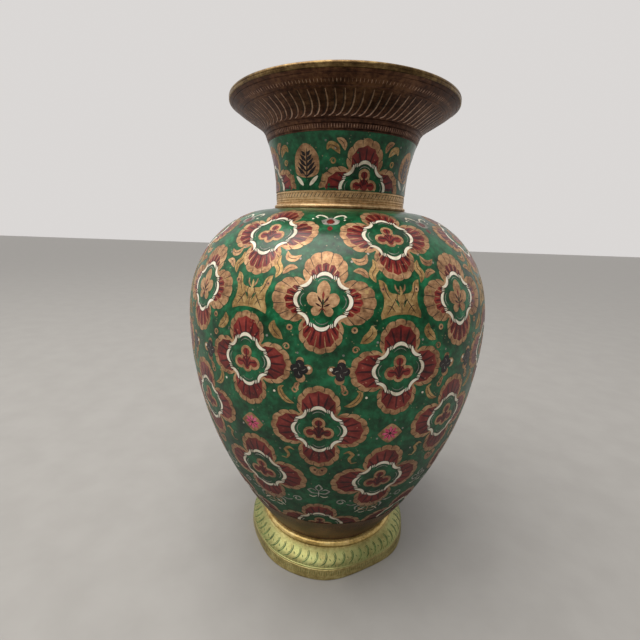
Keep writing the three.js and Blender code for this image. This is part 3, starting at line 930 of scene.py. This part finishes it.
def fan(border, broad=False, feathered=True):
    """One scalloped fan above the ring: red inside a brass border of this width in mm, with dark rays.

    A broad border narrows towards the sides. A feathered fan has thin brass rays too.
    """
    drawn = Stencil()
    stops = [-80, *CUSPS, 80]
    outer = []
    for a, b in zip(stops, stops[1:]):
        for k in range(5):
            at = a + (b - a) * k / 5
            outer.append(fan_point(at, fan_reach(at) - 0.75 * (1 - math.sin(math.pi * k / 5) ** 0.7)))
    outer = dense(outer + [fan_point(80, fan_reach(80)), (0, 4)], 1.8)

    def ours(x, y):
        """Outside the ring, and in this fan's quarter."""
        return abs(x) < y - 0.25 and not within(x, y, RING_EDGE)

    def depth(at):
        return border * (0.82 + 0.18 * math.cos(math.radians(at) * 2) if broad else 1)

    def lobed(at):
        return fan_reach(at) - depth(at) - 0.7 * abs(math.sin(math.pi * at / LOBE))

    inner = dense([fan_point(at, lobed(at)) for at in (k * LOBE / 4 for k in range(-19, 20))] + [(0, 3)],
                  1.6)
    diagonal = dense([(0, -0.25), (17, 16.75), (17, 27), (-17, 27), (-17, 16.75)], 1.5)
    drawn.region("brass", [outer, RING_EDGE, inner, diagonal], 0.05,
                 lambda x, y: within(x, y, outer) and not within(x, y, inner) and ours(x, y))
    drawn.region("red", [inner, RING_EDGE, diagonal], 0.02, lambda x, y: within(x, y, inner) and ours(x, y))
    for at in CUSPS[1:-1]:
        edge = fan_reach(at)
        drawn.stroke("ink", [fan_point(at, edge - 0.5 - (depth(at) - 0.3) * t) for t in (0, 0.5, 1)], 0.34,
                     0.07, (1, 0.5))
    for at in (-53, -35.5, -17.5, 0, 17.5, 35.5, 53):
        far = fan_reach(at) - depth(at) - 0.9
        start = max(8.6 - 2.2 * abs(at) / 53, far * 0.45)
        if far - start > 1.2:
            drawn.stroke("wine", [fan_point(at, start + (far - start) * t) for t in (0, 0.33, 0.67, 1)],
                         0.95, 0.045, (0.9, 0.15))
    for at in CUSPS[1:-1] if feathered else ():
        far = lobed(at) + 0.5
        drawn.stroke("brass", [fan_point(at, far * (1 - 0.17 * t)) for t in (0, 1, 2)], 0.5, 0.045,
                     (1, 0.1))
    return drawn


print("fan reach in mm:", round(fan_reach(0) + RAY_ORIGIN, 1))


# %% The middle flowers
def trefoil():
    """A three-lobed flower with a short stalk: wine lac inside a thin brass border."""
    lobes = [(0, 3.9, 3.1), (-4.0, -1.5, 3.2), (4.0, -1.5, 3.2), (0, -0.8, 4.0), (0, -3.4, 2.7)]
    drawn = Stencil()
    whole = lambda x, y: any(math.dist((x, y), (a, b)) < r for a, b, r in lobes)
    heart = lambda x, y: any(math.dist((x, y), (a, b)) < r - 1.25 for a, b, r in lobes)
    rims = [circle(a, b, r, 18) for a, b, r in lobes] + [circle(a, b, r - 1.25, 14) for a, b, r in lobes]
    drawn.region("brass", rims, 0.05, lambda x, y: whole(x, y) and not heart(x, y), 1.6)
    drawn.region("red", rims[len(lobes):], 0.03, heart, 1.6)
    for tip, width in (((0, 5.2), 1.1), ((-4.9, -0.9), 1.0), ((4.9, -0.9), 1.0), ((-2.3, 2.2), 0.7),
                       ((2.3, 2.2), 0.7)):
        drawn.stroke("wine", [(0, -3.9), (tip[0] * 0.4, tip[1] * 0.4 - 0.8), tip], width, 0.06, (0.3, 0.5))
    return drawn


def five_petals():
    """A broad brass flower with a red sprig of spear-shaped leaves."""
    drawn = Stencil()
    petals = [smooth([(0, 9.2), (1.9, 7.8), (2.9, 5.2), (2.2, 2.2), (0, 0.6), (-2.2, 2.2), (-2.9, 5.2),
                      (-1.9, 7.8)]),
              smooth([(0.4, 0.6), (2.4, 3.0), (5.4, 3.6), (7.2, 1.4), (6.2, -1.6), (3.4, -2.6),
                      (1.0, -1.6)]),
              smooth([(0.4, -1.4), (3.0, -2.2), (4.9, -4.0), (3.9, -6.4), (1.8, -6.2), (0.5, -4.0)])]
    petals += [[(-x, y) for x, y in path[::-1]] for path in petals[1:]]
    drawn.region("brass", petals, 0.05, lambda x, y: any(within(x, y, petal) for petal in petals), 1.8)
    for tip, start, width in (((0, 4.6), (0, 0.8), 1.2), ((-2.6, 2.4), (-0.5, -0.8), 1.0),
                              ((2.6, 2.4), (0.5, -0.8), 1.0), ((-3.4, -0.9), (-0.6, -2.4), 0.9),
                              ((3.4, -0.9), (0.6, -2.4), 0.9)):
        middle = ((tip[0] + start[0]) / 2 * 1.08, (tip[1] + start[1]) / 2)
        drawn.stroke("wine" if tip[0] else "red", [start, middle, tip], width, 0.07, (0.35, 0.05))
    drawn.stroke("wine", [(0, 1.2), (0, -2), (0, -5.2)], 0.5, 0.065, (0.5, 0.4))
    for side in (-1, 1):
        drawn.stroke("red", [(side * 1.6, -4.9), (side * 0.7, -3.6), (0, -3.0)], 0.5, 0.065, (0.3, 0.5))
    return drawn


# %% Medallions for the rows
def medallion(flower, side_fan, top_fan, bottom_fan):
    """A white ring round a flower, with a fan on each of its four sides."""
    drawn = Stencil()
    inner = grown(RING, -0.2)
    drawn.region("ink", [RING_EDGE, inner], 0.015,
                 lambda x, y: within(x, y, RING_EDGE) and not within(x, y, inner))
    drawn.add(white_ring())
    drawn.add(flower)
    for part, turn in ((top_fan, 0), (side_fan, 90), (bottom_fan, 180), (side_fan, 270)):
        drawn.add(part, turn=turn)
    return drawn


feather_fan = fan(2.8)
plain_fan = fan(2.5, feathered=False)
broad_fan = fan(5.8, broad=True)
deep_fan = fan(2.3)
MEDALLION = medallion(trefoil(), plain_fan, plain_fan, plain_fan)
FEATHERED_MEDALLION = medallion(trefoil(), feather_fan, feather_fan, feather_fan)
BRASS_MEDALLION = medallion(five_petals(), broad_fan, broad_fan, deep_fan)
print("medallion triangles:", {finish: len(faces) for finish, (_, faces) in MEDALLION.layers.items()})

# %% [markdown]
# ## The body pattern
# The medallions stand in six staggered rows of eight. The distances up the body line and the angles are the
# engraver's layout: each row sits in the gaps of the next. The lowest row is cut off by the plain brass
# band.

# %% Lay the medallions
REPEATS = 8
COLUMN, BETWEEN = 19.0, -3.5     # degrees: the two staggered directions
BAND = body_line.at_height(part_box("body_enamel")[0].z / MM) + 0.3
ROWS = (
    # height up the line, first azimuth, motif, size, seed
    (203.0, COLUMN, FEATHERED_MEDALLION, 0.97, 1),
    (171.0, BETWEEN, BRASS_MEDALLION, 0.98, 2),
    (141.0, COLUMN, MEDALLION, 0.98, 3),
    (110.0, BETWEEN, MEDALLION, 1.0, 4),
    (75.5, COLUMN, MEDALLION, 1.06, 5),
    (31.0, BETWEEN, MEDALLION, 1.0, 6),
)
LOWEST = ROWS[-1][0]
for height, first, motif, size, seed in ROWS:
    sized = Stencil()
    sized.add(motif, size=size)
    lay(sized, body_line, height, first, REPEATS, "medallion_rows", shake=2.0, seed=seed,
        above=BAND if height == LOWEST else None)
print("medallions laid:", len(ROWS) * REPEATS, "down to", round(BAND, 1), "mm up the line")

# %% [markdown]
# ## Small motifs between the medallions
# The gaps are filled with winged blossoms, leaves, curls, dots and rosettes, cut freehand on the real vase.
# They could be scattered at random, but the engraver put the same few motifs in the same gaps of every
# repeat, so each is drawn once, from a few given points that are smoothed, and from strokes that
# swell like the cut of a graver.

# %% Leaves, curls and dots
TAPERED = (0.05, 0.12)
ROUNDED = (0.3, 0.3)


def leaf(finish, path, width, vein="ink"):
    drawn = Stencil()
    path = smooth(path, 1.2, closed=False)
    drawn.stroke(finish, path, width, 0.05, TAPERED)
    if vein:
        drawn.stroke(vein, path[1:-1], 0.3, 0.07, ROUNDED)
    return drawn


def paired(side, finish, path, width, vein="ink"):
    """A leaf for the right of a motif, or mirrored for its left."""
    return leaf(finish, [(side * x, y) for x, y in path], width, vein)


def curl(finish, width, size, side, turns=1.2, points=16):
    """A spiral hook, open at its outer end."""
    path = []
    for k in range(points + 1):
        angle, r = turns * math.tau * k / points, size * (1 - 0.62 * k / points)
        path.append((side * r * math.cos(angle), r * math.sin(angle)))
    drawn = Stencil()
    drawn.stroke(finish, path, width, 0.05, (0.3, 0.7))
    return drawn


def dot(finish, r=0.55, lift=0.05):
    drawn = Stencil()
    drawn.region(finish, [circle(0, 0, r, 9)], lift)
    return drawn


def button(r, heart):
    """A round brass boss with a dark heart."""
    drawn = Stencil()
    drawn.region("brass", [circle(0, 0, r, 12)], 0.06, spacing=1.4)
    drawn.add(dot("ink", heart, 0.085))
    return drawn


def overlapping(drawn, finish, rounds, lift):
    """One region from overlapping circles, each (x, y, r)."""
    rims = [circle(x, y, r, 12) for x, y, r in rounds]
    drawn.region(finish, rims, lift, lambda x, y: any(math.dist((x, y), (a, b)) < r for a, b, r in rounds),
                 1.6)


def mirrored(half):
    """A closed outline from its right half, which starts and ends on the axis."""
    return half + [(-x, y) for x, y in half[-2:0:-1]]


print("a leaf, a curl, a dot and a button are ready")


# %% The winged blossom
def winged_blossom():
    """A broad golden blossom with two raised wings and a tuft between them."""
    drawn = Stencil()
    half = [(0, -6.6), (4.6, -7.0), (9.4, -8.6), (9.6, -6.4), (8.3, -3.0), (8.0, 1.0), (9.2, 4.4)]
    half += [(9.6, 8.6), (8.0, 8.2), (6.4, 6.6), (5.6, 3.8), (4.2, 2.6), (2.6, 2.4), (0, 1.8)]
    drawn.region("gold", [smooth(mirrored(half), 1.2)], 0.05, spacing=2.0)
    folds = (
        # path of a fold in the right wing, and its width
        ([(6.8, -6.4), (4.2, -2.6), (2.4, 0.4)], 0.4),
        ([(7.6, 7.4), (6.6, 3.0), (4.6, -0.6)], 0.4),
        ([(7.0, -2.6), (4.8, -3.2), (3.0, -5.6)], 0.35),
        ([(1.0, 3.6), (2.0, 0.4), (0.4, -3.0)], 0.35),
    )
    drawn.stroke("gold", smooth([(0, 1.0), (0.3, 3.4), (0, 5.8)], 1.0, False), 1.1, 0.06, (0.6, 0.2))
    drawn.stroke("ink", [(0, -1.6), (0, -4), (0, -6.4)], 0.35, 0.07, (0.4, 0.4))
    for side in (-1, 1):
        for path, width in folds:
            drawn.stroke("ink", smooth([(side * x, y) for x, y in path], 1.2, False), width, 0.07,
                         (0.4, 0.2))
        drawn.stroke("green", [(side * 3.1, 0.2), (side * 1.9, -1.2), (side * 1.1, -3.4)], 0.9, 0.068,
                     (0.2, 0.2))
        tuft = [(side * 0.6, 2.6), (side * 2.0, 4.4), (side * 2.4, 6.6)]
        drawn.stroke("brass", smooth(tuft, 1.0, False), 0.8, 0.05, (0.5, 0.2))
    return drawn


WINGED = winged_blossom()
print("winged blossom finishes:", sorted(WINGED.layers))


# %% Flowers of the gaps
def black_blossom(side):
    """A black four-petalled blossom on brass, with a pale petal on one side."""
    drawn = Stencil()
    back = [(side * 3.7, 0.2, 2.3), (0.3, 4.0, 1.7), (-side * 3.3, 0.4, 1.6), (0.6 * side, -4.1, 2.2)]
    overlapping(drawn, "brass", back, 0.045)
    drawn.add(dot("white", 0.8, 0.065), side * 4.3, 1.0)
    overlapping(drawn, "black", [(0.2, 2.5, 2.0), (-2.3, 0.3, 1.9), (2.1, 0, 2.0), (-0.3, -2.5, 2.1),
                                 (0, 0, 1.9)], 0.065)
    for k in range(4):
        drawn.stroke("grey", turned_path([(0.7, 0.9), (0.9, 1.9), (0.5, 2.8)], 90 * k + 20), 0.3, 0.085)
    return drawn


def rosette():
    """Eight pink petals on a brass lozenge."""
    drawn = Stencil()
    half = [(0, 5.6), (3.4, 3.4), (6.4, 0), (3.4, -3.4), (0, -5.6)]
    drawn.region("brass", [smooth(mirrored(half))], 0.04, spacing=1.8)
    for k in range(8):
        drawn.stroke("pink", turned_path([(0, 0.9), (0, 2.4), (0, 3.9)], 45 * k), 1.5, 0.06, (0.3, 0.6))
        drawn.stroke("wine", turned_path([(0, 1.0), (0, 1.9), (0, 2.9)], 45 * k + 22.5), 0.4, 0.085,
                     (0.6, 0.3))
    drawn.add(dot("wine", 0.8, 0.09))
    return drawn


def bud():
    """A small two-lobed bud that hangs below a medallion."""
    drawn = Stencil()
    half = [(0, 1.4), (2.2, 2.9), (4.2, 2.2), (4.0, -0.6), (2.0, -3.0), (0, -3.6)]
    drawn.region("brass", [smooth(mirrored(half))], 0.04, spacing=1.8)
    for side in (-1, 1):
        drawn.add(dot("wine", 0.7, 0.07), side * 1.8, 0.5)
        drawn.stroke("ink", [(0, 0.6), (side * 0.8, -1.0), (side * 0.7, -2.6)], 0.3, 0.07)
    return drawn


def shoulder_flower():
    """A pale cup with two curled petals over a red drop."""
    drawn = Stencil()
    cup = [(0, -4.6), (3.4, -3.4), (4.4, -0.6), (2.2, 0.8), (0, 2.4)]
    heart = [(0, -3.6), (1.9, -2.4), (1.6, -0.6), (0, 0.8)]
    drawn.region("grey", [smooth(mirrored(cup))], 0.045, spacing=1.8)
    drawn.region("red", [smooth(mirrored(heart))], 0.06, spacing=1.6)
    for side in (-1, 1):
        petal = [(side * x, y) for x, y in ((1.2, 1.2), (3.0, 3.6), (5.6, 4.6), (7.2, 3.0), (6.0, 1.8))]
        drawn.stroke("white", smooth(petal, 1.0, False), 1.1, 0.07, (0.2, 0.5))
        drawn.stroke("ink", [(side * 0.9, -3.6), (side * 1.4, -1.4), (side * 0.7, 0.6)], 0.3, 0.08)
    drawn.add(leaf("red", [(0, -5.2), (0, -7.0), (0, -8.6)], 2.4, "wine"))
    return drawn


def sprig(tone):
    """A small three-leaved plant."""
    drawn = Stencil()
    drawn.stroke(tone, smooth([(0, -5.5), (0, -2), (0, 1)], 1.0, False), 0.6, 0.05, (0.3, 0.2))
    for side in (-1, 1):
        drawn.stroke(tone, smooth([(0, 0), (side * 1.6, 2.4), (0, 5.6)], 1.0, False), 0.9, 0.05, (0.3, 0.2))
        arm = [(0, -2), (side * 3.4, -2.2), (side * 5.6, 0.2), (side * 3.6, 1.6), (side * 1.4, 0)]
        drawn.stroke(tone, smooth(arm, 1.0, False), 0.8, 0.05, ROUNDED)
        foot = [(side * 0.8, -4.6), (side * 3.0, -5.6), (side * 5.0, -4.6)]
        drawn.stroke("white", smooth(foot, 1.0, False), 0.5, 0.05, ROUNDED)
    return drawn


print("flowers drawn: black blossom, rosette, bud, shoulder flower, sprig")

# %% [markdown]
# ## Filling the gaps
# Each gap of the layout gets its group of motifs, at a height up the body line and an angle. What stands on
# both sides of a gap is laid in a loop over the two sides, mirrored. The eight repeats come from the laying
# tree.


# %% Fill the gaps
def fill_gap(height, at, seed, *parts, shake=3.0):
    """Lays parts, each (stencil, x, y), round the body in every repeat."""
    group = Stencil()
    for part, x, y in parts:
        group.add(part, x, y)
    lay(group, body_line, height, at, REPEATS, "small_motifs", shake=shake, seed=seed)


fill_gap(172.3, COLUMN, 11, (WINGED, 0, 0), shake=1.5)
fill_gap(214.6, BETWEEN, 12, (shoulder_flower(), 0, 0))
fill_gap(214.6, BETWEEN, 13, (dot("white"), 6.5, 0), (dot("white"), -8.5, 1))
for side in (-1, 1):
    fill_gap(
        184.5, COLUMN, 14 + side,
        (paired(side, "gold", [(10.6, 6.2), (9.8, 2.6), (12.0, -0.8), (11.0, -4.6)], 3.4), 0, 0),
        (paired(side, "brass", [(12.8, 8.6), (14.4, 5.4), (17.4, 4.8), (19.8, 6.8)], 3.0), 0, 0),
        (paired(side, "brass", [(13.9, -2.6), (16.5, 0.5), (20, 0.5)], 3.0), 0, 0),
        (button(1.3, 0.5), side * 8.2, -7.6),
        (dot("grey"), side * 12, 9),
        (dot("grey"), side * 20, 5),
        (dot("gold", 0.9), side * 15.6, -8.6),
    )
    fill_gap(
        157.0, BETWEEN + side * 12.3, 17 + side,
        (paired(side, "gold", [(-2.4, -3.6), (0.4, -1.6), (2.6, 1.0), (2.2, 4.2)], 4.2), 0, 0),
        (button(1.4, 0.6), -side * 5.2, 2),
        (dot("grey"), side * 5.2, -3),
        (curl("brass", 0.7, 1.6, side), -side * 4.2, -6.6),
    )
    fill_gap(
        140.5, BETWEEN + side * 5.8, 20 + side,
        (black_blossom(-side), 0, 0),
        (dot("grey", 0.5), side, 7.5),
        (leaf("brass", [(0, -6.2), (side * 1.4, -8.2), (side * 0.6, -10.4)], 2.2), 0, 0),
    )
    fill_gap(
        127.0, BETWEEN + side * 10.0, 23 + side,
        (paired(side, "gold", [(-4.2, -3.6), (-1.0, -2.6), (1.8, 0.2), (2.6, 3.4), (0.8, 4.6)], 2.7), 0, 0),
        (dot("white", 0.6), side * 5.4, 1.2),
        (curl("brass", 0.7, 1.7, -side), -side * 4.6, 3.4),
    )
    hook = [(-3, 3), (-0.6, 4.4), (1.8, 2.6), (0.2, -0.4), (1.6, -3.2), (4.2, -2.6)]
    fill_gap(
        93.0, BETWEEN + side * 10.0, 26 + side,
        (paired(side, "gold", hook, 1.6, None), 0, 0),
        (dot("grey"), side * 4.4, 2.6),
    )
    fill_gap(
        57.0, BETWEEN + side * 9.2, 29 + side,
        (curl("grey", 0.8, 2.6, side), 0, 0),
        (paired(side, "grey", [(3, -2), (6, -3.4), (9, -2.4)], 0.9, None), 0, 0),
        (dot("grey"), side * 5, 1.4),
    )
    fill_gap(
        50.5, COLUMN, 34 + side,
        (paired(side, "grey", [(5, 3), (7.6, 0.4), (7.0, -3)], 1.0, None), 0, 0),
        (paired(side, "white", [(2, -1), (4.2, -2.6), (6.6, -5.4)], 0.7, None), 0, 0),
    )
fill_gap(
    107.5, COLUMN, 41,
    (rosette(), 0, 0),
    (dot("grey"), 6.4, 2),
    (dot("grey"), -6.2, -2.4),
    (dot("grey", 0.5), 1.5, 7.4),
)
fill_gap(83.5, BETWEEN, 32, (bud(), 0, 0))
fill_gap(67.0, BETWEEN, 43, (sprig("grey"), 0, 0))
fill_gap(48.6, COLUMN, 44, (sprig("brass"), 0, 1))
print("meshes laid so far:", sum(len(meshes) for meshes in LAID.values()))

# %% [markdown]
# ## The neck
# The neck carries the same medallion four times, cut in half by the collar, and between them a black
# feather-shaped leaf on a brass drop. The halves are whole medallions laid low and cut along the collar's
# edge, which is how the engraver's pattern runs under it.


# %% Draw the feathered leaf
def feather_plant():
    """A black feathered leaf on a brass drop, over two short white leaves."""
    drawn = Stencil()
    drop = [(0, 8.8), (3.4, 7.4), (6.6, 3.6), (7.4, -1.0), (6.6, -5.4), (3.4, -7.2), (0, -7.6)]
    drawn.region("brass", [smooth(mirrored(drop))], 0.04, spacing=2.0)
    drawn.stroke("black", smooth([(0, -8.6), (0.3, -2), (0.6, 6.4)], 1.2, False), 0.8, 0.075, (0.6, 0.3))
    for side in (-1, 1):
        for k in range(5):
            y, long = -7.0 + 2.5 * k, 5.6 - 0.75 * k
            barb = [(side * 0.3, y), (side * long * 0.55, y + long * 0.42), (side * long, y + long * 0.9)]
            drawn.stroke("black", barb, 1.9, 0.07, (0.3, 0.2))
        low_leaf = [(side * 1.9, -11.4), (side * 4.0, -9.2), (side * 6.4, -6.8)]
        drawn.stroke("white", smooth(low_leaf, 1.0, False), 1.9, 0.08, ROUNDED)
    return drawn


# %% Lay the neck pattern
NECK_REPEATS = 4
NECK_AT = 18.0     # degrees: the first half medallion
LEAF_AT = NECK_AT - 180 / NECK_REPEATS
ABOVE_COLLAR = 0.35     # mm up the neck line

raised_flower = Stencil()
raised_flower.add(trefoil(), y=2.2)
neck_fan = fan(3.2, feathered=False)
half_medallion = medallion(raised_flower, neck_fan, neck_fan, neck_fan)
lay(half_medallion, neck_line, 2.3, NECK_AT, NECK_REPEATS, "neck", shake=1.5, seed=51, above=ABOVE_COLLAR)
lay(feather_plant(), neck_line, 14.4, LEAF_AT, NECK_REPEATS, "neck", shake=2.0, seed=52)
for side in (-1, 1):
    corner = Stencil()
    corner.add(paired(side, "gold", [(-2.4, -2.6), (0, 0.6), (2.8, 1.4), (4.2, -0.8)], 3.4))
    corner.add(paired(side, "brass", [(-4.9, -1), (-3.9, 2.6), (-0.6, 4.4)], 3.0))
    corner.add(dot("grey"))
    corner.add(dot("grey"), side * 5, 3.4)
    corner.add(curl("gold", 0.8, 1.6, side), side, -6.0)
    lay(corner, neck_line, 20.6, NECK_AT + side * 22.5, NECK_REPEATS, "neck", shake=3, seed=53 + side)
    low = Stencil()
    low.add(paired(side, "gold", [(0, -2), (1.4, 0.8), (0.2, 3.0)], 1.2, None))
    low.add(dot("grey"), side * 2.6, 5.6)
    lay(low, neck_line, 5.5, LEAF_AT + side * 12.5, NECK_REPEATS, "neck", seed=56 + side)
print("neck finishes:", sorted(finish for zone, finish in LAID if zone == "neck"))

# %% [markdown]
# ## Chasing on the bare metal
# The flare is chased with about eighty hooked strokes, with fine ticks above and below. The collar has
# slanted ticks, the bare foot of the body fine upright ones, and the skirt of the foot curved ribs with
# small lozenges between them. All of it repeats, so each mark is a stroke of a few faces, laid many times.


# %% Flare, collar and band
def row_of(finish, path, width, line, height, count, zone, lift, ends=(0.5, 0.5), shake=0.0, seed=0):
    """A row of equal marks round the vase, at a height in mm up the line."""
    mark = Stencil()
    mark.stroke(finish, path, width, lift, ends)
    lay(mark, line, height, 0, count, zone, shake=shake, seed=seed)


HOOKS = 80
flare_low, flare_top = flare_line.at_height(TOP - 17.0), flare_line.at_height(TOP - 8.2)
tall = flare_top - flare_low
for finish, shift, end, width, lift in (("bright", 0, (-3.4, 0.6), 0.62, 0.07),
                                        ("ink", -0.8, (-4.0, 0.8), 0.45, 0.04)):
    hooked = [(0.5, tall), (0.7, tall * 0.62), (0.1, tall * 0.32), (-1.6, tall * 0.1)]
    path = smooth([(x + shift, y) for x, y in hooked] + [end], 1.2, False)
    row_of(finish, path, width, flare_line, flare_low, HOOKS, "flare", lift, (0.4, 0.55), shake=2, seed=61)

RISING = [(0, 0), (0, 0.9), (0, 1.8)]
UPRIGHT = [(0, -1), (0, 0), (0, 1)]
SLANTED = [(-0.7, -1.2), (0, 0), (0.7, 1.2)]
TICKS = (
    # finish, path, width, line, height in mm above the floor, count, zone, lift
    ("bright", RISING, 0.32, flare_line, TOP - 6.6, 220, "flare", 0.04),
    ("bright", RISING, 0.30, sleeve_line, TOP - 21.3, 200, "flare", 0.04),
    ("ink", SLANTED, 0.34, collar_line, SHOULDER + 6.5, 110, "collar", 0.04),
    ("ink", UPRIGHT, 0.30, base_line, 24.6, 150, "band", 0.03),
    ("ink", UPRIGHT, 0.30, base_line, 40.5, 200, "band", 0.03),
    ("leafy", [(-0.2, -0.7), (0, 0), (0.2, 0.7)], 0.30, skirt_line, 9.6, 150, "skirt", 0.04),
    ("leafy", [(0, -1.4), (0, 0), (0, 1.4)], 0.26, skirt_line, 4.8, 230, "skirt", 0.035),
)
for finish, path, width, line, z, count, zone, lift in TICKS:
    row_of(finish, path, width, line, line.at_height(z), count, zone, lift)
print("hooked strokes:", HOOKS, "ticks:", sum(row[5] for row in TICKS))

# %% Foot
RIBS = 56
rib = smooth([(0.6, 3.5), (1.3, 1.6), (1.0, -0.6), (-0.4, -2.6), (-2.4, -3.7)], 1.0, False)
fine_rib = smooth([(-0.2, 3.0), (0.5, 1.5), (0.2, -0.4), (-1.0, -2.0)], 1.0, False)
lozenge = [(-2.9, 0.3), (-2.5, -0.4), (-2.1, -1.1)]
for path, width, ends in ((rib, 0.8, (0.5, 0.3)), (fine_rib, 0.4, (0.5, 0.3)),
                          (lozenge, 0.75, (0.15, 0.15))):
    row_of("leafy", path, width, skirt_line, skirt_line.at_height(12.4), RIBS, "skirt", 0.05, ends, shake=4,
           seed=71)
print("ribs on the foot:", RIBS)

# %% [markdown]
# ## Gathering the pattern
# Every motif was laid as its own mesh. They are joined into one piece for each zone and finish, so that the
# vase has a few dozen pieces and not hundreds. The foot's ribs get the same dents as the foot. The surface
# lines were only tools, so they are put away.

# %% Gather the pattern
SLOTS = {"brass": "bright_brass", "gold": "bright_brass", "ink": "dark_brass", "grey": "dark_brass",
         "bright": "bright_brass"}
gather("medallion_rows", "medallions", SLOTS)
gather("small_motifs", "fillers", SLOTS)
gather("neck", "neck_pattern", SLOTS)
gather("flare", "flare_chasing", SLOTS)
gather("collar", "collar_ticks", SLOTS)
gather("band", "band_ticks", SLOTS)
gather("skirt", "skirt_ribs", {"leafy": "bright_brass"}, knocked)

# %% Put the lines away
for line in (body_line, neck_line, collar_line, sleeve_line, flare_line, skirt_line, base_line):
    bpy.data.objects.remove(line.object)
print("lines put away")

# %% [markdown]
# ## Floor and soft light
# The floor is plain and pale. A large softbox nearly overhead and a weaker one at the left give the broad
# sheen on the shoulder, and a wide overhead light fills the shadows. The world is bright behind the vase
# and dim in front: lac is glossy, and a bright room in front of it would wash its dark colours out.

# %% Floor
HALF_FLOOR = 4.0     # metres
corners = [(x * HALF_FLOOR, y * HALF_FLOOR, 0) for x, y in ((-1, -1), (1, -1), (1, 1), (-1, 1))]
floor_mesh = bpy.data.meshes.new("floor")
floor_mesh.from_pydata(corners, [], [(0, 1, 2, 3)])
floor = bpy.data.objects.new("floor", floor_mesh)
bpy.context.scene.collection.objects.link(floor)
paint = Finish("pale_floor")
grain = paint.noise(30, 3)
shade = paint.ramp(grain, (0.35, (0.28, 0.272, 0.26)), (0.65, (0.30, 0.292, 0.28)))
floor_mesh.materials.append(paint.done(shade, grain * 0.1 + 0.55))
print("floor laid")


# %% Lights
WARM = (1, 0.97, 0.92)


def softbox(title, place, size, power):
    """A square softbox that faces the belly of the vase."""
    light = bpy.data.lights.new(title, "AREA")
    light.shape, light.size, light.energy, light.color = "SQUARE", size, power, WARM
    box = bpy.data.objects.new(title, light)
    bpy.context.scene.collection.objects.link(box)
    box.location = place
    box.rotation_euler = (Vector((0, 0, 0.6 * TALL)) - box.location).to_track_quat("-Z", "Y").to_euler()


softbox("ceiling_softbox", (-0.30, -0.12, 1.15), 0.9, 9)
softbox("left_softbox", (-1.2, -0.3, 1.1), 1.2, 3)

overhead = bpy.data.objects.new("overhead_light", bpy.data.lights.new("overhead_light", "SUN"))
overhead.data.energy, overhead.data.angle, overhead.data.color = 2.1, math.radians(70), (1, 0.97, 0.93)
overhead.rotation_euler = Vector((-0.22, -0.42, 1)).to_track_quat("Z", "Y").to_euler()
bpy.context.scene.collection.objects.link(overhead)

world = bpy.data.worlds.new("studio")
world.use_nodes = True
world.node_tree.nodes.clear()
sky = Bench(world.node_tree)
back = sky.split(sky.node("ShaderNodeTexCoord"))[1]
glow = sky.node("ShaderNodeBackground", {},
                {"Color": (0.80, 0.775, 0.76, 1), "Strength": back.above(-0.5, 0.55) * 0.72 + 0.16})
sky.node("ShaderNodeOutputWorld", {}, {"Surface": glow})
bpy.context.scene.world = world
bpy.context.scene.view_settings.view_transform = "Standard"
print("lights:", len(bpy.data.lights))
